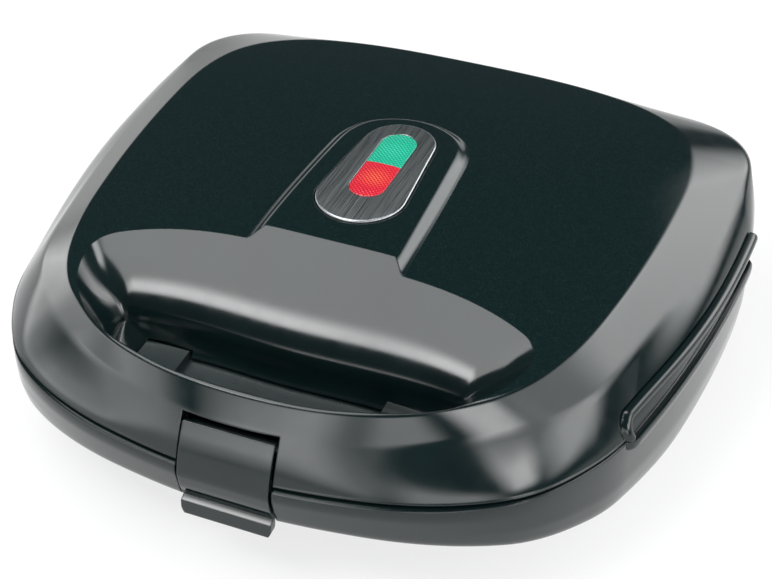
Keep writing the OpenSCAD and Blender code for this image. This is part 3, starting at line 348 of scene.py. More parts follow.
def lid_block():
    """The outside of the lid, from the eased edge at the seam over the border to the dome's top."""
    side_end, border_start = lid_side(1 - CREASE_ROUND), lid_border(CREASE_ROUND)
    border_end, dome_start = lid_border(PANEL_ROUND), dome_ring(DOME_START)
    rings = [at_z(inset(SEAM, d), LID_Z + h) for d, h in SEAM_EASE]
    rings += [lid_side(t / 16) for t in range(1, 15)]
    rings += [side_end] + rounded(side_end, lid_side(1), border_start, 6) + [border_start]
    rings += [lid_border(t / 12) for t in range(2, 12)] + [border_end]
    rings += rounded(border_end, lid_border(1), dome_start, 4) + [dome_start]
    edge = len(rings) - 2
    rings += [dome_ring(s / 40) for s in range(38, 1, -2)] + [dome_ring(0.02)]
    return panelled(fan_loft("lid_shell_fine", rings), edge * len(SEAM))


def panelled(obj, first):
    """Gives the faces from the first one on the material of the top panel, which booleans keep."""
    for mat in (GLOSS, PANEL_MAT):
        obj.data.materials.append(mat)
    for face in list(obj.data.polygons)[first:]:
        face.material_index = 1
    return obj


LEDGE, DECK_T = 1.6, 2.5  # the ledge that the deck seats on, and the deck's thickness


def lid_cavity():
    """The hollow of the lid: straight past the deck, narrower at its ledge, then under the dome."""
    rings = [at_z(inset(SEAM, WALL), LID_Z - 1), at_z(inset(SEAM, WALL), LID_Z + DECK_T + 0.2),
             at_z(inset(SEAM, WALL + LEDGE), LID_Z + DECK_T + 0.7),
             at_z(inset(CREASE, WALL * 1.1), CREASE_Z - WALL * 0.35),
             dome_ring(0.96, WALL * 1.3), dome_ring(0.8, WALL), dome_ring(0.55, WALL),
             dome_ring(0.25, WALL)]
    return fan_loft("lid_cavity", rings)


SCOOP_HALF_W, SCOOP_CORNER, DRAFT = 55.4, 9.0, 0.08
SCOOP_FOLD = 2.0  # corner radius where the rear wall folds into the flanks, and where that holds:
FOLD_LOW, FOLD_LOW_RUN, FOLD_HIGH, FOLD_HIGH_RUN = 3.0, 5.0, 23.0, 15.0
SCOOP_REAR, SCOOP_FRONT = FRONT + 44.6, FRONT + 14.9
# The rear wall's section, as (how far it leans back, height over the parting line)
FLARE_BELOW = (-1.2, -1.5)
FLARE_FOOT = ((0, 0), (2.2, 1.6), (3.2, 4), (4, 7.5))
FLARE_WALL = ((4, 7.5), (5.6, 14), (12.5, 19.2), (20.8, 23.9))
FLARE_TOP = (52, 42.4)


def scoop_keys(e, h, grow):
    """The recess at the height h, where its rear wall leans back by e: clockwise from the rear."""
    xt = SCOOP_HALF_W + e + grow
    yr = SCOOP_REAR + e + grow
    yf = SCOOP_FRONT - DRAFT * h - grow
    rise = yr - yf
    fold = smooth((h - FOLD_LOW) / FOLD_LOW_RUN) * smooth((FOLD_HIGH - h) / FOLD_HIGH_RUN)
    c = mix(SCOOP_CORNER, SCOOP_FOLD, fold)
    return [(0, yr, 0), (xt - c, yr - 0.6, -10), (xt, yr - c, -90),
            (0.84 * xt, yf + 0.33 * (rise - e) + 0.4 * e, -135),
            (0.44 * xt, yf + 0.07 * rise, -163), (0, yf, -180)]


def scoop_block(name, grow, steps):
    """The space of the recess, larger all round by grow, with steps rings up its flared wall."""
    flare = [FLARE_BELOW] + [bezier(*FLARE_FOOT, k / 5) for k in range(5)]
    flare += [bezier(*FLARE_WALL, k / steps) for k in range(steps + 1)]
    flare += [tuple(mix(u, v, k / 4) for u, v in zip(FLARE_WALL[-1], FLARE_TOP)) for k in (1, 2, 3, 4)]
    rings = [at_z(reversed(whole(scoop_keys(e, h, grow), FINE)), PARTING + h) for e, h in flare]
    return loft(name, rings)


PLATEAU_HALF_W, PLATEAU_FLANK = 26.5, 4.0
PLATEAU_REAR = DOME_MID[1] + 47.7
PLATEAU_KEYS = [(0, FRONT + 64, 0), (PLATEAU_HALF_W - 6.4, FRONT + 64, 0),
                (PLATEAU_HALF_W + 0.6, FRONT + 71, 90), (PLATEAU_HALF_W - 2, PLATEAU_REAR - 24, 94),
                (PLATEAU_HALF_W - 12, PLATEAU_REAR - 4.5, 148), (0, PLATEAU_REAR, 180)]


def on_dome(points, h):
    """An outline laid on the dome, or h above it."""
    return [(p[0], p[1], dome_z(p[0], p[1]) + h) for p in points]


def plateau_block():
    """The raised tongue under the indicator: its flanks rise from the dome, its top follows it."""
    line = whole(PLATEAU_KEYS, 16)
    mid = (0, DOME_MID[1] - 4)
    rings = [on_dome(inset(line, PLATEAU_FLANK * 0.5), -WALL * 0.8),
             on_dome(inset(line, -PLATEAU_FLANK * 0.3), -PLATEAU_H * 0.1)]
    for k in range(1, 13):
        t = k / 12
        rings.append(on_dome(inset(line, PLATEAU_FLANK * mix(-0.3, 1.1, t)), PLATEAU_H * smooth(t)))
    top = inset(line, PLATEAU_FLANK * 1.1)
    rings += [on_dome(scaled(top, mid, s), PLATEAU_H) for s in (0.8, 0.6, 0.4, 0.2, 0.05)]
    return panelled(fan_loft("plateau", rings), 0)


def pill(r_front, r_rear, span, y0, steps=40):
    """Two circles of different size joined by their tangents, from the front one's centre at y0."""
    a = asin((r_front - r_rear) / span)
    ring = []
    for k in range(steps + 1):
        t = mix(pi - a, 2 * pi + a, k / steps)
        ring.append((r_front * cos(t), y0 + r_front * sin(t)))
    for k in range(steps + 1):
        t = mix(a, pi - a, k / steps)
        ring.append((r_rear * cos(t), y0 + span + r_rear * sin(t)))
    return ring


BEZEL_Y = DOME_MID[1] - 9
BEZEL_FRONT_R, BEZEL_REAR_R, BEZEL_SPAN, BEZEL_T = 15.7, 13.0, 34.0, 1.6
BEZEL_SEAT_Z = PANEL_Z + DOME_RISE + PLATEAU_H - BEZEL_T + 0.3
SEAT_GAP = 0.5
LENS_Y = DOME_MID[1] - 3.5
LENS_R, LENS_SPAN, LENS_FLANGE = 6.4, 28.0, 1.2
LENS_TOP = PANEL_Z + DOME_RISE + PLATEAU_H + 1
CEILING = PANEL_Z + DOME_RISE - WALL
LENS_FOOT = CEILING - FIT_GAP - LENS_FLANGE

LATCH_W, LATCH_GAP = 31.0, 0.9
CUT_W = LATCH_W + 2 * LATCH_GAP
PIVOT_Y, PIVOT_Z = FRONT + 9.4, PARTING + 8.5
BARREL_R = 2.2
CATCH_Y = FRONT + 7.4  # the rear wall of the latch's pocket
CATCH_FRONT_Y, CATCH_HALF_W = CATCH_Y - 2.9, 12.0

HINGE_X, KNUCKLE_W, EAR_T, EAR_GAP = 78.0, 16.0, 5.0, 0.4
EAR_X = KNUCKLE_W / 2 + EAR_GAP + EAR_T / 2
HINGE_Y, HINGE_Z = REAR + HINGE_OFFSET, PARTING
HINGE_GAP = 0.5
ARM_IN_Y, ARM_CUT_Z = HINGE_Y - 19.5, LID_Z + 12.4
LATCH_CUT_Z = PARTING + 15.5
PAD_IN_X, PAD_OUT_X, STEP_H = SCOOP_HALF_W - 20.8, SCOOP_HALF_W - 4.5, 3.0

RAIL_R, RAIL_H, RAIL_BEND, RAIL_END = 2.2, 6.0, 4.5, 1.2
SIDE_FRONT, SIDE_REAR, RAIL_REAR = FRONT + 62.3, REAR - 67, REAR - 62
FLANGE_PROUD, FLANGE_H, FLANGE_RAMP = 2.5, 3.5, 4


def rail():
    """The rail on the right side of the lid: it starts at the seam, turns and runs to the rear."""
    walls = {}

    def wall_x(y, z):
        """The x of the side wall at a point of the right side."""
        t = round((z - LID_Z) / (CREASE_Z - LID_Z), 3)
        if t not in walls:
            walls[t] = lid_side(t)
        return x_at(walls[t], y)

    def station(y, z, a, size=1.0):
        """The rail's section at a point of its middle line, which leans back by a from upright."""
        x = wall_x(y, z) + mix(0.1, 0.6, (y - SIDE_FRONT) / (RAIL_REAR - SIDE_FRONT))
        r = RAIL_R * size
        section = [(-0.45, 1), (-0.2, 0.97)]
        section += [(cos(radians(b)), sin(radians(b)) * 0.95) for b in range(80, -81, -10)]
        section += [(-0.2, -0.97), (-0.45, -1)]
        return [(x + u * r, y + v * r * sin(radians(a - 90)), z + v * r * cos(radians(a - 90)))
                for u, v in section]

    z = PARTING + RAIL_H
    y0 = SIDE_FRONT + 1
    rings = [station(y0, LID_Z + 0.3, 0, 0.9), station(y0, mix(LID_Z + 0.3, z - RAIL_BEND, 0.5), 0)]
    for k in range(13):
        a = 90 * k / 12
        rings.append(station(y0 + RAIL_BEND * (1 - cos(radians(a))),
                             z - RAIL_BEND + RAIL_BEND * sin(radians(a)), a))
    for k in range(1, 61):
        rings.append(station(mix(y0 + RAIL_BEND, RAIL_REAR - RAIL_END, k / 60), z, 90))
    for k in range(1, 5):
        a = pi / 2 * k / 4
        rings.append(station(RAIL_REAR - RAIL_END + RAIL_END * sin(a), z, 90, mix(1, 0.4, 1 - cos(a))))
    return loft("rail", rings)


def lid_shell():
    """The lid: dome, plateau and rail, less its hollow, the recess and the places of its fittings."""
    shell = combine(lid_block(), [plateau_block(), rail()], "UNION")
    cavity = combine(lid_cavity(), [scoop_block("scoop_wall", WALL, 6)], "DIFFERENCE")
    seat = pill(BEZEL_FRONT_R + SEAT_GAP, BEZEL_REAR_R + SEAT_GAP, BEZEL_SPAN, BEZEL_Y)
    window = pill(LENS_R + FIT_GAP, LENS_R + FIT_GAP, LENS_SPAN, LENS_Y)
    cuts = [cavity, scoop_block("scoop", 0, 24), prism("bezel_seat", seat, BEZEL_SEAT_Z, FAR),
            prism("lens_hole", window, PANEL_Z - WALL, FAR),
            box("latch_cut", (-CUT_W / 2, FRONT - 5, LID_Z - 1),
                (CUT_W / 2, PIVOT_Y + BARREL_R + 0.4, LATCH_CUT_Z))]
    cuts += pair(box("pad_cut", (PAD_IN_X, SCOOP_REAR - 9, LID_Z - 2),
                     (PAD_OUT_X, SCOOP_REAR + 3, LID_Z + STEP_H)))
    arm_half = KNUCKLE_W / 2 + FIT_GAP
    cuts += pair(box("arm_cut", (HINGE_X - arm_half, ARM_IN_Y, LID_Z - 5),
                     (HINGE_X + arm_half, FAR, ARM_CUT_Z)))
    ear_half = EAR_T / 2 + HINGE_GAP
    for x in (HINGE_X - EAR_X, HINGE_X + EAR_X):
        cuts += pair(rod_x("ear_cut", x - ear_half, x + ear_half, HINGE_Y, HINGE_Z, HINGE_R + HINGE_GAP))
    combine(shell, cuts, "DIFFERENCE")
    return shade(shell, RIM_SHARP)


# ---------------------------------------------------------------- base
FLOOR_Z, BOW_SLOPE, BOW_START, BOW_SOFT = 3.5, 0.24, 127.0, 18.0
FLOOR_EDGE = 6.5  # how far the underside's outline lies inside the seam
# Share of the wall's height below the seam, and how far the wall lies inside the seam there
BASE_WALL = ((0, -0.5), (0.04, -1), (0.12, -1.3), (0.25, -1.3), (0.42, -0.7), (0.67, 0.3),
             (0.86, 1.2), (0.95, 2.3), (0.99, 4), (1, FLOOR_EDGE))
GLAND_Z, GLAND_R = PARTING - 20, 3.6 + 2.25
FOOT_R = 7.0
VENT_STEP, VENT_W, VENT_L, VENT_TOP = 12.0, 3.0, 34.0, 11.0
FEET = [(x * (HW - 38), y) for x in (-1, 1) for y in (FRONT + 81, REAR - 30)]


def floor_at(y):
    """The height of the underside, which bows up towards the front."""
    u = max(REAR - BOW_START - y, 0)
    return FLOOR_Z + BOW_SLOPE * (sqrt(u * u + BOW_SOFT * BOW_SOFT) - BOW_SOFT)


def curve_through(points, steps):
    """A smooth curve through a list of points (Catmull-Rom)."""
    ext = [tuple(2 * a - b for a, b in zip(points[0], points[1]))] + list(points)
    ext.append(tuple(2 * a - b for a, b in zip(points[-1], points[-2])))
    out = []
    for i in range(len(points) - 1):
        p0, p1, p2, p3 = ext[i:i + 4]
        q = tuple(b + (c - a) / 6 for a, b, c in zip(p0, p1, p2))
        w = tuple(c - (d - b) / 6 for b, c, d in zip(p1, p2, p3))
        out += [bezier(p1, q, w, p2, k / steps) for k in range(steps)]
    return out + [points[-1]]


def base_inset(d):
    """An inset for each point of the seam; a bulge, below 0, fades to a tenth behind the front."""
    return [d if d > 0 else mix(d, 0.1 * d, smooth((p[1] - FRONT - 8) / 30)) for p in SEAM]


def base_ring(s, d, up=0.0):
    """The wall's ring at the share s of its height below the seam, d inside the seam."""
    return [(x, y, mix(BASE_Z, floor_at(y), s) + up) for x, y in inset(SEAM, base_inset(d))]


def floor_ring(share, d, up):
    """A ring of the underside: the seam's inset drawn in to a share, up above the underside."""
    mid = (0, REAR - BOW_START * 0.6)
    return [(x, y, floor_at(y) + up) for x, y in scaled(inset(SEAM, d), mid, share)]


FLANGE_EASE = ((0.5, 0), (0.15, 0.15), (0, 0.5))  # inset and height along its rounded edges


def side_flange():
    """The flange along the right side of the base, under the rail, which fades in at both ends."""
    n = 60
    ys = [mix(SIDE_FRONT, SIDE_REAR, 0.5 - 0.5 * cos(pi * i / n)) for i in range(n + 1)]

    def ramp(y):
        w = min(max(y - SIDE_FRONT, 0), max(SIDE_REAR - y, 0), FLANGE_RAMP)
        return sqrt(FLANGE_RAMP ** 2 - (FLANGE_RAMP - w) ** 2) / FLANGE_RAMP

    def outer(shrink):
        return [(x_at(SEAM, y) + (FLANGE_PROUD - shrink) * ramp(y), y) for y in ys]

    inner = [(x_at(SEAM, y) - WALL * 0.7, y) for y in reversed(ys)]
    z0, z1 = BASE_Z - FLANGE_H, BASE_Z - 0.2
    section = [(d, z0 + h) for d, h in FLANGE_EASE] + [(d, z1 - h) for d, h in reversed(FLANGE_EASE)]
    return loft("side_flange", [at_z(outer(d) + inner, z) for d, z in section])


def base_block():
    """The outside of the base, from the middle of the underside up the wall to its eased rim."""
    rings = [floor_ring(s, FLOOR_EDGE, 0) for s in (0.1, 0.25, 0.4, 0.6, 0.75, 0.88, 0.96)]
    rings += [base_ring(s, d) for s, d in reversed(curve_through(BASE_WALL, 4))]
    rings[-1] = [(x, y, z - 0.35) for x, y, z in rings[-1]]
    rings.append(at_z(inset(SEAM, base_inset(0.3)), BASE_Z))
    return fan_loft("base_shell_fine", rings)


def base_cavity():
    """The hollow of the base, less the walls round the latch's pocket."""
    rings = [floor_ring(s, 8, WALL) for s in (0.25, 0.6, 0.88)]
    rings += [base_ring(0.96, 5, WALL), base_ring(0.72, 3, WALL * 0.6), base_ring(0.3, WALL - 0.2),
              at_z(inset(SEAM, WALL), BASE_Z + 1)]
    walls = box("pocket_wall", (-CUT_W / 2 - WALL, FRONT - 5, 0),
                (CUT_W / 2 + WALL, CATCH_Y + WALL, BASE_Z - DECK_T - 0.1))
    return combine(fan_loft("base_cavity", rings), [walls], "DIFFERENCE")


def latch_pocket():
    """The pocket that the latch swings out of, less the catch in it."""
    space = box("latch_pocket", (-CUT_W / 2, FRONT - 5, 0), (CUT_W / 2, CATCH_Y, BASE_Z + 1))
    catch = box("catch", (-CATCH_HALF_W, CATCH_FRONT_Y, PARTING - 4.8),
                (CATCH_HALF_W, CATCH_Y + 2, PARTING - 1.8))
    return combine(space, [catch], "DIFFERENCE")


def base_shell():
    """The base: its block and flange, less hollow, latch pocket, hinge ways, cord way and vents."""
    shell = combine(base_block(), [side_flange()], "UNION")
    cuts = [base_cavity(), latch_pocket()]
    ear_half = EAR_T / 2 + FIT_GAP
    for x in (HINGE_X - EAR_X, HINGE_X + EAR_X):
        cuts += pair(box("ear_way", (x - ear_half, ARM_IN_Y, HINGE_Z - 12.4),
                         (x + ear_half, FAR, HINGE_Z + 18)))
    half_w = KNUCKLE_W / 2 + EAR_GAP + HINGE_GAP
    cuts += pair(rod_x("knuckle_way", HINGE_X - half_w, HINGE_X + half_w, HINGE_Y, HINGE_Z,
                       HINGE_R + HINGE_GAP))
    cuts.append(along_y("cord_way", circle(0, GLAND_Z, GLAND_R), REAR - 20, FAR))
    cuts += [prism("foot_way", circle(x, y, FOOT_R + 0.6), -1, floor_at(y) + 0.8) for x, y in FEET]
    cuts += [prism("vent", round_rect(k * VENT_STEP, PLATE_Y + 22, VENT_W, VENT_L, VENT_W / 2 - 0.1), -1,
                   VENT_TOP) for k in range(-5, 6)]
    combine(shell, cuts, "DIFFERENCE")
    return shade(shell)


# ---------------------------------------------------------------- plates
PLATE_W = BODY_W - 2 * 16.8
PLATE_FRONT, PLATE_REAR = FRONT + 61.3, REAR - 59.2
PLATE_D = PLATE_REAR - PLATE_FRONT
PLATE_Y = (PLATE_FRONT + PLATE_REAR) / 2
PLATE_CORNER, RIM_T = 16.0, 2.5
LAND, CELL_GAP, RIDGE_W = 12.0, 12.0, 7.0
CELL_W = (PLATE_W - 2 * LAND - CELL_GAP) / 2
CELL_D = PLATE_D - 2 * LAND
CELL_STEP, CELL_CORNER = 0.8, 8.0  # the flat recess round two pockets
POCKET_DEPTH, POCKET_WALL = 11.0, 2.5
POCKET_R, POCKET_FOOT_R, POCKET_SLOPE = 7.0, 3.5, 4.5
POCKET_SET_BACK = (RIDGE_W / 2 + POCKET_R) * 1.1  # of its two sharp corners from the ridge
POST_Y = CELL_D / 2 - 11
SCREW_HOLE_R, SCREW_SEAT_R, SCREW_SEAT_Z = 1.7, 3.5, -1.6


def hull(name, points):
    """The convex hull of a list of points."""
    bm = bmesh.new()
    for p in points:
        bm.verts.new([v * MM for v in p])
    result = bmesh.ops.convex_hull(bm, input=bm.verts)
    spare = {v for v in result["geom_interior"] + result["geom_unused"]
             if isinstance(v, bmesh.types.BMVert)}
    bmesh.ops.delete(bm, geom=list(spare), context="VERTS")
    mesh = bpy.data.meshes.new(name)
    bm.to_mesh(mesh)
    bm.free()
    return linked(bpy.data.objects.new(name, mesh))


def ball(x, y, z, r, steps):
    """Points on the lower half of a ball."""
    points = []
    for i in range(steps // 2 + 1):
        b = -pi / 2 * i / (steps // 2)
        for k in range(steps if b > -pi / 2 else 1):
            a = 2 * pi * k / steps
            points.append((x + r * cos(b) * cos(a), y + r * cos(b) * sin(a), z + r * sin(b)))
    return points


def pocket(name, side, grow):
    """A triangular pocket right of the middle of a plate that faces up, larger all round by grow:
    side 1 is the one at the rear, -1 the one in front."""
    left, right = CELL_GAP / 2 + POCKET_R, CELL_GAP / 2 + CELL_W - POCKET_R
    front, rear = -CELL_D / 2 + POCKET_R, CELL_D / 2 - POCKET_R
    if side > 0:
        corners = [(left, front + POCKET_SET_BACK), (left, rear), (right - POCKET_SET_BACK, rear)]
    else:
        corners = [(right, rear - POCKET_SET_BACK), (right, front), (left + POCKET_SET_BACK, front)]
    mid = (sum(c[0] for c in corners) / 3, sum(c[1] for c in corners) / 3)
    points = []
    for x, y in corners:
        lean = POCKET_SLOPE / hypot(mid[0] - x, mid[1] - y)
        for z in (0, 1):
            points += at_z(circle(x, y, POCKET_R + grow, 48), z)
        points += ball(mix(x, mid[0], lean), mix(y, mid[1], lean), -POCKET_DEPTH + POCKET_FOOT_R,
                       POCKET_FOOT_R + grow, 32)
    return hull(name, points)


def plate(name, facing):
    """A cast plate with four pockets: facing 1 is the lower one, -1 the upper one."""
    body = prism(name, round_rect(0, 0, PLATE_W, PLATE_D, PLATE_CORNER), -RIM_T, 0)
    walls = [combine(back, [box("under", (-HW, -HW, -FAR), (HW, HW, -RIM_T + OVERLAP))], "INTERSECT")
             for side in (-1, 1) for back in pair(pocket("pocket_back", side, POCKET_WALL))]
    combine(body, walls, "UNION")
    cell = round_rect((CELL_GAP + CELL_W) / 2, 0, CELL_W + 2, CELL_D + 2, CELL_CORNER)
    cuts = pair(pocket("pocket", -1, 0)) + pair(pocket("pocket", 1, 0))
    cuts += pair(prism("cell", cell, -CELL_STEP, 1))
    for y in (-POST_Y, POST_Y):
        hole, seat = circle(0, y, SCREW_HOLE_R, 32), circle(0, y, SCREW_SEAT_R, 32)
        cuts += [prism("screw_hole", hole, -RIM_T - 1, 1),
                 loft("screw_seat", [at_z(hole, SCREW_SEAT_Z), at_z(seat, OVERLAP)])]
    combine(body, cuts, "DIFFERENCE")
    if facing < 0:
        body.data.transform(Matrix.Scale(-1, 4, (0, 0, 1)))
        body.data.flip_normals()
    body.data.transform(Matrix.Translation((0, PLATE_Y * MM, (BASE_Z if facing > 0 else LID_Z) * MM)))
    return shade(body, PLATE_SHARP)


# ---------------------------------------------------------------- latch
# The latch's section, as (behind the front of the housing, above the parting line)
LATCH_FACE = ((5.6, 13.2), (3.8, 10.2), (2.2, 7), (0.9, 4), (0, 1.4), (-LATCH_PROUD, -3), (-0.7, -6),
              (0, -9.2), (0.9, -11.5))
LATCH_LIP = ((2, -13), (2, -14.4), (0.5, -15.1), (-0.1, -15.6), (-0.3, -20.4), (0.4, -21.2),
             (2.4, -20.6), (3.6, -14.6))
LATCH_BACK = ((3.6, -11.5), (2.4, -8.6), (1.6, -3), (2.5, 1.4), (3.4, 4), (4.7, 7), (6.3, 10.2),
              (7.4, 12.6))
LATCH_TOP, LATCH_LOW, LATCH_CORNER = PARTING + 14, PARTING - 22, 4.5
HOOK_HALF_W, HOOK_LOW, HOOK_TOP = 11.5, PARTING - 8.3, PARTING - 5.5
HOOK_TIP = CATCH_FRONT_Y - 0.4
LATCH_BORE_R = 1.15


def latch_front():
    """The latch as seen from the front: a strip with its two lower corners rounded."""
    outline = []
    for side, start in ((-1, 180), (1, 270)):
        for k in range(13):
            t = radians(start + 90 * k / 12)
            outline.append((side * (LATCH_W / 2 - LATCH_CORNER) + LATCH_CORNER * cos(t),
                            LATCH_LOW + LATCH_CORNER + LATCH_CORNER * sin(t)))
    outline += [(LATCH_W / 2, LATCH_TOP), (-LATCH_W / 2, LATCH_TOP)]
    return along_y("latch_front", outline, -FAR, FAR)


def latch():
    """The clip: its section along X, cut to its front view, with barrel, web and hook."""
    section = curve_through(LATCH_FACE, 5) + list(LATCH_LIP) + curve_through(LATCH_BACK, 4)
    section = [(FRONT + y, PARTING + z) for y, z in reversed(section)]
    body = along_x("latch_fine", section, -LATCH_W / 2, LATCH_W / 2)
    combine(body, [latch_front()], "INTERSECT")
    half_w = LATCH_W / 2 - 0.5
    web = [(PIVOT_Y - 5.5, PIVOT_Z - 3.2), (PIVOT_Y, PIVOT_Z - BARREL_R), (PIVOT_Y, PIVOT_Z),
           (PIVOT_Y - 4.5, PIVOT_Z + 1.5)]
    hook = box("hook", (-HOOK_HALF_W, FRONT + 1.2, HOOK_LOW), (HOOK_HALF_W, HOOK_TIP, HOOK_TOP))
    combine(body, [rod_x("barrel", -half_w, half_w, PIVOT_Y, PIVOT_Z, BARREL_R),
                   along_x("web", web, -half_w, half_w), hook], "UNION")
    bore = rod_x("bore", -LATCH_W, LATCH_W, PIVOT_Y, PIVOT_Z, LATCH_BORE_R, 32)
    return shade(combine(body, [bore], "DIFFERENCE"))


# ---------------------------------------------------------------- indicator
BEZEL_FOOT_Z = BEZEL_SEAT_Z + 0.05
BEZEL_EDGE_W, BEZEL_EDGE_H = 0.7, 0.55
LENS_EDGE_W, LENS_EDGE_H, LENS_EDGE_Z = 0.6, 0.35, LENS_TOP - 0.9
LENS_CROWN, LENS_WALL, LENS_SKIN = 0.3, 1.4, 2.2
LENS_MID = LENS_Y + LENS_SPAN / 2
LENS_SPLIT = 0.05  # half the gap between the two lenses


def bezel():
    """The oval frame of the indicator, with a rounded edge and the window's hole."""
    def ring(shrink, z):
        return at_z(pill(BEZEL_FRONT_R - shrink, BEZEL_REAR_R - shrink, BEZEL_SPAN, BEZEL_Y), z)

    edge_z = BEZEL_FOOT_Z + BEZEL_T - BEZEL_EDGE_H
    rings = [ring(0, BEZEL_FOOT_Z), ring(0, edge_z)]
    rings += [ring(BEZEL_EDGE_W * (1 - cos(radians(a))), edge_z + BEZEL_EDGE_H * sin(radians(a)))
              for a in (15, 30, 45, 60, 75, 90)]
    body = loft("indicator_bezel_fine", rings)
    window = pill(LENS_R + FIT_GAP / 2, LENS_R + FIT_GAP / 2, LENS_SPAN, LENS_Y)
    return shade(combine(body, [prism("window", window, 0, FAR)], "DIFFERENCE"))


def lens(name, side):
    """Half of the lens window: side 1 is the rear half, -1 the front one."""
    def ring(shrink, z):
        return at_z(pill(LENS_R - shrink, LENS_R - shrink, LENS_SPAN, LENS_Y), z)

    rings = [ring(-LENS_FLANGE, LENS_FOOT), ring(-LENS_FLANGE, LENS_FOOT + LENS_FLANGE),
             ring(0, LENS_FOOT + LENS_FLANGE), ring(0, LENS_EDGE_Z)]
    rings += [ring(LENS_EDGE_W * (1 - cos(radians(a))), LENS_EDGE_Z + LENS_EDGE_H * sin(radians(a)))
              for a in (22.5, 45, 67.5, 90)]
    rings += [ring(d, LENS_EDGE_Z + LENS_EDGE_H + LENS_CROWN * smooth((d - LENS_EDGE_W) / 3))
              for d in (1.2, 2, 3, 4, 5, 6)]
    near, far = sorted((LENS_MID + side * LENS_SPLIT, -side * FAR))
    other_half = box("other_half", (-FAR, near, 0), (FAR, far, FAR))
    hollow = prism("hollow", pill(LENS_R - LENS_WALL, LENS_R - LENS_WALL, LENS_SPAN, LENS_Y),
                   LENS_FOOT - 1, LENS_TOP - LENS_SKIN)
    return shade(combine(fan_loft(name, rings), [other_half, hollow], "DIFFERENCE"))


# ---------------------------------------------------------------- materials
def nodes_of(name):
    """A new material, its node tree and its shader."""
    mat = bpy.data.materials.new(name)
    mat.use_nodes = True
    tree = mat.node_tree
    return mat, tree, tree.nodes["Principled BSDF"]


def add(tree, kind, **values):
    """A node with its properties and unlinked inputs set; names ending in _ are properties."""
    node = tree.nodes.new(kind)
    for key, value in values.items():
        if key.endswith("_"):
            setattr(node, key[:-1], value)
        else:
            node.inputs[key.replace("_", " ")].default_value = value
    return node


def fed(tree, vector, kind, **values):
    """A node that works on a vector."""
    node = add(tree, kind, **values)
    tree.links.new(vector, node.inputs["Vector"])
    return node


def place_on(tree):
    """The piece's own coordinates, which are in metres."""
    return add(tree, "ShaderNodeTexCoord").outputs["Object"]


def detail(tree, scale, **values):
    """Noise over the piece's own coordinates."""
    return fed(tree, place_on(tree), "ShaderNodeTexNoise", Scale=scale, **values).outputs["Fac"]


def computed(tree, operation, first, second):
    """The result of a Math node on a socket and a second socket or a number."""
    node = add(tree, "ShaderNodeMath", operation_=operation)
    tree.links.new(first, node.inputs[0])
    if isinstance(second, float):
        node.inputs[1].default_value = second
    else:
        tree.links.new(second, node.inputs[1])
    return node.outputs[0]


def ranged(tree, value, low, high, low_in=0.3, high_in=0.7):
    """A value that runs from low_in to high_in, made to run from low to high."""
    node = add(tree, "ShaderNodeMapRange", From_Min=low_in, From_Max=high_in, To_Min=low, To_Max=high)
    tree.links.new(value, node.inputs["Value"])
    return node.outputs["Result"]


def tinted(tree, value, dark, light):
    """A colour between dark, at 0, and light, at 1."""
    node = add(tree, "ShaderNodeMix", data_type_="RGBA")
    node.inputs[6].default_value = (*dark, 1)
    node.inputs[7].default_value = (*light, 1)
    tree.links.new(value, node.inputs[0])
    return node.outputs[2]


def relief(tree, shader, value, height, edge):
    """Bump of a height in metres, over edges that the bevel node rounds by a radius in metres."""
    bump = add(tree, "ShaderNodeBump", Strength=1.0, Distance=height)
    tree.links.new(value, bump.inputs["Height"])
    bevel = add(tree, "ShaderNodeBevel", samples_=6, Radius=edge)
    tree.links.new(bevel.outputs["Normal"], bump.inputs["Normal"])
    tree.links.new(bump.outputs["Normal"], shader.inputs["Normal"])


def plain_material(name, dark, light, rough, metallic=0.0, grain=900.0, height=0.00002, edge=0.0003,
                   **values):
    """Two tones that drift into each other, roughness that varies, and a fine grain."""
    mat, tree, shader = nodes_of(name)
    drift = detail(tree, 60.0, Detail=4.0)
    tree.links.new(tinted(tree, ranged(tree, drift, 0, 1), dark, light), shader.inputs["Base Color"])
    tree.links.new(ranged(tree, detail(tree, 170.0, Detail=6.0), *rough), shader.inputs["Roughness"])
    relief(tree, shader, detail(tree, grain, Detail=3.0), height, edge)
    shader.inputs["Metallic"].default_value = metallic
    for key, value in values.items():
        shader.inputs[key.replace("_", " ")].default_value = value
    return mat


def gloss_material():
    """Polished dark plastic: faint sink waves, hairline haze and a rounded edge."""
    return plain_material("housing_gloss", (0.0025, 0.007, 0.0075), (0.004, 0.01, 0.0105), (0.1, 0.15),
                          grain=26.0, height=0.00004, edge=0.0007, IOR=1.52)


def panel_material():
    """The top panel: as the housing, with a very fine sparkle under the gloss."""
    mat, tree, shader = nodes_of("panel_gloss")
    cells = fed(tree, place_on(tree), "ShaderNodeTexVoronoi", Scale=3000.0)
    spark = ranged(tree, cells.outputs["Color"], 0, 1, 0.6, 1.0)
    tree.links.new(tinted(tree, spark, (0.0022, 0.0085, 0.009), (0.0085, 0.021, 0.022)),
                   shader.inputs["Base Color"])
    tree.links.new(ranged(tree, detail(tree, 120.0, Detail=6.0), 0.08, 0.12), shader.inputs["Roughness"])
    relief(tree, shader, detail(tree, 22.0, Detail=2.0), 0.00004, 0.0007)
    shader.inputs["IOR"].default_value = 1.5
    return mat


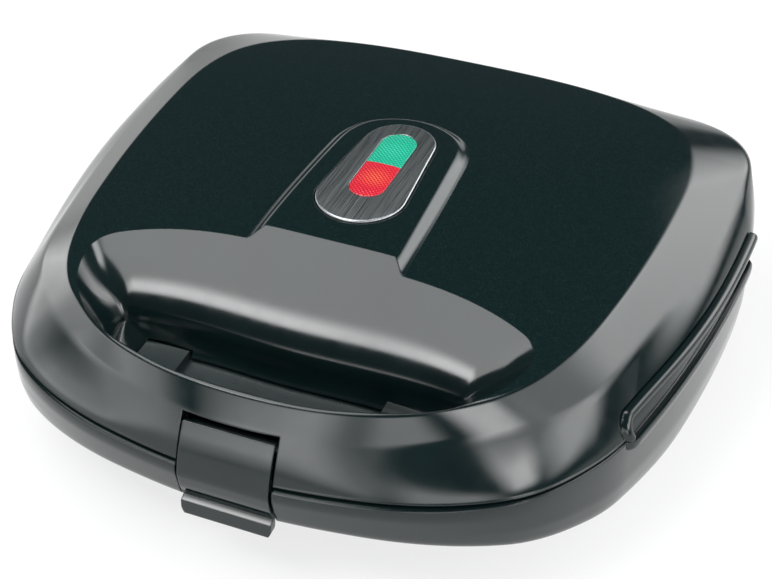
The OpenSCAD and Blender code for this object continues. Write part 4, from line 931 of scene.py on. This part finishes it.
def brushed_material(name, dark, light, grain):
    """Metal with fine scratches, whose number in a metre is given along X, Y and Z."""
    mat, tree, shader = nodes_of(name)
    stretch = fed(tree, place_on(tree), "ShaderNodeMapping", Scale=grain)
    noise = fed(tree, stretch.outputs["Vector"], "ShaderNodeTexNoise", Scale=1.0, Detail=4.0)
    scratch = noise.outputs["Fac"]
    tree.links.new(tinted(tree, ranged(tree, scratch, 0, 1), dark, light), shader.inputs["Base Color"])
    tree.links.new(ranged(tree, scratch, 0.24, 0.42), shader.inputs["Roughness"])
    relief(tree, shader, scratch, 0.00001, 0.0004)
    shader.inputs["Metallic"].default_value = 1.0
    return mat


FACET = 0.55  # half the width of a lens facet, in mm
# painted glow: the lenses emit light themselves, strongest in a warm spot and over the facets near it; the
# lamps behind them give none
SPOT_IN, SPOT_OUT = 0.0012, 0.0065  # radii in metres between which the warm spot fades
LENS_GLOW, LENS_BASE_GLOW = 0.55, 0.3


def window_material(name, deep, crest_highlight, glow, centre):
    """Clear coloured plastic over a lamp, with a grid of small diamond facets: painted highlights make
    their crests lighter, and painted glow, strongest in a warm spot, makes the lens emit light though the
    lamp behind it gives none.
    """
    mat, tree, shader = nodes_of(name)
    place = place_on(tree)
    turn = fed(tree, place, "ShaderNodeMapping", Scale=[1 / MM] * 3, Rotation=(0, 0, radians(45)))
    parts = fed(tree, turn.outputs["Vector"], "ShaderNodeSeparateXYZ").outputs
    waves = [computed(tree, "PINGPONG", parts[axis], FACET) for axis in "XY"]
    grid = ranged(tree, computed(tree, "MULTIPLY", *waves), 0, 1, 0, 0.3)
    distance = add(tree, "ShaderNodeVectorMath", operation_="DISTANCE")
    distance.inputs[1].default_value = [v * MM for v in centre]
    tree.links.new(place, distance.inputs[0])
    near = ranged(tree, distance.outputs["Value"], 1, 0, SPOT_IN, SPOT_OUT)
    # painted highlights: facet crests are coloured lighter than the troughs
    tree.links.new(tinted(tree, grid, deep, crest_highlight), shader.inputs["Base Color"])
    # painted glow on the facets near the warm spot, over a faint painted glow of the whole lens
    painted_facet_glow = computed(tree, "MULTIPLY", near, grid)
    tree.links.new(tinted(tree, painted_facet_glow, tuple(LENS_BASE_GLOW * c for c in crest_highlight), glow),
                   shader.inputs["Emission Color"])
    shader.inputs["Emission Strength"].default_value = LENS_GLOW
    shader.inputs["Roughness"].default_value = 0.08
    shader.inputs["IOR"].default_value = 1.49
    relief(tree, shader, grid, 0.00012, 0.0003)
    return mat


# ---------------------------------------------------------------- pieces
def dress(obj, body, slot, mat, *replaced):
    """Sets a piece on its body in place of CAD nodes and, if it has none, gives it a material. The slot is
    not used.
    """
    if not obj.data.materials:
        obj.data.materials.append(mat)
    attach(obj, body)
    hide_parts(*replaced)


def paint(mat, *names):
    """A CAD node keeps its mesh and gets a better material."""
    for name in names:
        obj = NODES[name]
        if not obj.material_slots:
            obj.data.materials.append(mat)
        for held in obj.material_slots:
            held.material = mat


GLOSS, PANEL_MAT = gloss_material(), panel_material()
FRAME_PLASTIC = plain_material("frame_plastic", (0.009, 0.015, 0.016), (0.015, 0.023, 0.024), (0.26, 0.36),
                               grain=2600.0, height=0.00003)
RUBBER = plain_material("rubber", (0.014, 0.014, 0.015), (0.024, 0.024, 0.024), (0.6, 0.8), grain=1800.0)
COATING = plain_material("plate_coating", (0.028, 0.028, 0.03), (0.05, 0.05, 0.052), (0.3, 0.42),
                         metallic=0.35, grain=3500.0, height=0.00003, edge=0.0008)
TUBE = plain_material("tube_steel", (0.16, 0.14, 0.12), (0.34, 0.32, 0.3), (0.3, 0.5), metallic=1.0)
STEEL = plain_material("steel", (0.5, 0.51, 0.52), (0.68, 0.69, 0.7), (0.2, 0.35), metallic=1.0)
SHEET = plain_material("shield_sheet", (0.62, 0.63, 0.64), (0.8, 0.81, 0.82), (0.18, 0.34), metallic=1.0,
                       grain=300.0, height=0.00006)
BEZEL = brushed_material("bezel_metal", (0.34, 0.36, 0.37), (0.46, 0.49, 0.5),
                         (4200.0, 40.0, 4200.0))
LAMP = plain_material("lamp_glass", (0.8, 0.45, 0.32), (0.95, 0.62, 0.48), (0.05, 0.12))
TERMINAL = plain_material("terminal_plastic", (0.66, 0.62, 0.52), (0.78, 0.75, 0.66), (0.4, 0.55))
CERAMIC = plain_material("ceramic", (0.74, 0.71, 0.64), (0.86, 0.83, 0.78), (0.5, 0.7))
BOARD = plain_material("board", (0.03, 0.13, 0.05), (0.06, 0.2, 0.09), (0.3, 0.5), grain=2500.0)
SLEEVE = plain_material("wire_sleeve", (0.36, 0.04, 0.03), (0.5, 0.07, 0.05), (0.4, 0.6))
# the third colour of each window is its painted glow, and the point is the middle of its painted glow spot
RED = window_material("red_window", (0.32, 0.004, 0.012), (0.8, 0.05, 0.08), (1.0, 0.5, 0.08),
                      (0.5, LENS_MID - 9, LENS_TOP))
GREEN = window_material("green_window", (0.0, 0.2, 0.11), (0.05, 0.55, 0.38), (0.12, 0.62, 0.45),
                        (0, LENS_MID + 9, LENS_TOP))

dress(lid_shell(), "lid", "housing_gloss", GLOSS, "lid_shell")
dress(base_shell(), "base", "housing_gloss", GLOSS, "base_shell")
dress(plate("lower_plate_fine", 1), "base", "plate_coating", COATING, "lower_plate")
dress(plate("upper_plate_fine", -1), "lid", "plate_coating", COATING, "upper_plate")
dress(latch(), "latch", "housing_gloss", GLOSS, "latch")
dress(bezel(), "lid", "bezel_metal", BEZEL, "indicator_bezel")
dress(lens("red_lens_fine", -1), "lid", "red_window", RED, "red_lens")
dress(lens("green_lens_fine", 1), "lid", "green_window", GREEN, "green_lens")

paint(FRAME_PLASTIC, "base_deck", "lid_deck", "base_hinge_brackets", "lid_hinge_arms", "latch_bearings")
paint(RUBBER, "rubber_feet", "cord_bush")
paint(TUBE, "lower_heating_element", "upper_heating_element")
paint(STEEL, "lower_element_clips", "upper_element_clips", "lower_plate_screws", "upper_plate_screws",
      "base_hinge_screws", "lid_hinge_screws", "hinge_pins", "latch_pin")
paint(SHEET, "base_heat_shield", "lid_heat_shield")
paint(TERMINAL, "terminal_block")
paint(CERAMIC, "thermostat", "thermal_fuse")
paint(BOARD, "lamp_board")
paint(LAMP, "power_lamp", "ready_lamp")
paint(SLEEVE, "base_wiring", "lid_wiring")


# ---------------------------------------------------------------- studio
FLOOR_HALF = 20000.0
FLOOR_WHITE = 0.75  # the share of plain white in what the camera and reflections see


def floor():
    """A pale floor that looks white to the camera and in reflections and keeps a soft shadow."""
    corners = [(x * FLOOR_HALF, y * FLOOR_HALF, 0) for x, y in ((-1, -1), (1, -1), (1, 1), (-1, 1))]
    obj = make("floor", corners, [(0, 1, 2, 3)])
    mat, tree, shader = nodes_of("floor")
    shader.inputs["Base Color"].default_value = (0.9, 0.9, 0.9, 1)
    shader.inputs["Roughness"].default_value = 1.0
    shader.inputs["Specular IOR Level"].default_value = 0.0
    path = add(tree, "ShaderNodeLightPath").outputs
    seen = path["Is Camera Ray"]
    for other in ("Is Glossy Ray", "Is Transmission Ray"):
        seen = computed(tree, "MAXIMUM", seen, path[other])
    white = add(tree, "ShaderNodeEmission", Color=(1, 1, 1, 1), Strength=1.0)
    both = add(tree, "ShaderNodeMixShader")
    for k, link in enumerate((computed(tree, "MULTIPLY", seen, FLOOR_WHITE), shader.outputs[0],
                              white.outputs[0])):
        tree.links.new(link, both.inputs[k])
    tree.links.new(both.outputs[0], tree.nodes["Material Output"].inputs["Surface"])
    obj.data.materials.append(mat)


def softbox(name, place, aim, width, depth, radiance, soft=0.6):
    """An area light of the given radiance, aimed at a point; places are in metres. It fades
    towards its edges over a share of its half size."""
    light = bpy.data.lights.new(name, "AREA")
    light.shape, light.size, light.size_y = "RECTANGLE", width, depth
    light.energy = radiance * width * depth * pi
    light.use_nodes = True
    tree = light.node_tree
    across = add(tree, "ShaderNodeNewGeometry").outputs["Parametric"]
    parts = fed(tree, across, "ShaderNodeSeparateXYZ").outputs
    fades = [ranged(tree, computed(tree, "PINGPONG", parts[axis], 0.5), 0, 1, 0, soft / 2)
             for axis in "XY"]
    tree.links.new(computed(tree, "MULTIPLY", *fades), tree.nodes["Emission"].inputs["Strength"])
    obj = linked(bpy.data.objects.new(name, light))
    obj.location = place
    obj.rotation_euler = (Vector(place) - Vector(aim)).to_track_quat("Z", "Y").to_euler()


MIDDLE = (0, 0, 0.05)  # of the toaster, in metres
REACH = 1.25  # from there to the lights round it


def around(azimuth, elevation):
    """A place round the toaster: the azimuth counts from the rear, +Y, towards +X."""
    a, e = radians(azimuth), radians(elevation)
    return tuple(t + REACH * d for t, d in zip(MIDDLE, (sin(a) * cos(e), cos(a) * cos(e), sin(e))))


def studio_world():
    """A world that is white near the horizon and dim above it."""
    world = bpy.data.worlds.new("studio")
    world.use_nodes = True
    tree = world.node_tree
    direction = add(tree, "ShaderNodeTexCoord").outputs["Generated"]
    parts = fed(tree, direction, "ShaderNodeSeparateXYZ").outputs
    height = ranged(tree, parts["Z"], 0, 1, 0.02, 0.11)
    tone = tinted(tree, height, (1, 1, 1), (0.07, 0.08, 0.082))
    tree.links.new(tone, tree.nodes["Background"].inputs["Color"])
    bpy.context.scene.world = world


AZIMUTH, ELEVATION = 22.374, 37.532  # of the camera, from the front towards +X and up
CAMERA_AT = (0.1921, -0.45799, 0.408697)
FOCAL_LENGTH, SENSOR = 80.94, 36.0


def camera():
    """The camera of the photograph's view."""
    data = bpy.data.cameras.new("camera")
    data.lens, data.sensor_width = FOCAL_LENGTH, SENSOR
    obj = linked(bpy.data.objects.new("camera", data))
    az, el = radians(AZIMUTH), radians(ELEVATION)
    back = Vector((sin(az) * cos(el), -cos(az) * cos(el), sin(el)))
    obj.rotation_euler = back.to_track_quat("Z", "Y").to_euler()
    obj.location = CAMERA_AT
    bpy.context.scene.camera = obj


floor()
softbox("top", (-0.45, -0.215, 1.0), (-0.45, -0.215, 0), 0.8, 1.13, 4.3, 0.08)
softbox("top_front", (-0.45, -0.58, 0.97), (-0.45, -0.58, 0), 0.85, 0.4, 8.0, 0.7)
softbox("zenith", around(12, 72), MIDDLE, 0.35, 0.35, 8.0)
softbox("right_rear", around(36, 25), MIDDLE, 1.3, 0.7, 4.6)
softbox("right", around(84, 24), MIDDLE, 1.1, 0.6, 5.5)
softbox("right_high", around(75, 41), MIDDLE, 2.2, 0.45, 2.2)
softbox("right_front", around(120, 28), MIDDLE, 0.5, 0.55, 8.0)
softbox("front_right", around(150, 12), MIDDLE, 0.9, 0.5, 3.2)
softbox("front", around(-172, 12), MIDDLE, 1.0, 0.5, 4.4)
softbox("front_left", around(-125, 5), MIDDLE, 1.6, 0.36, 2.6)
softbox("left", around(-78, 5), MIDDLE, 1.1, 0.4, 2.8)
studio_world()
camera()
bpy.context.scene.view_settings.view_transform = "Standard"
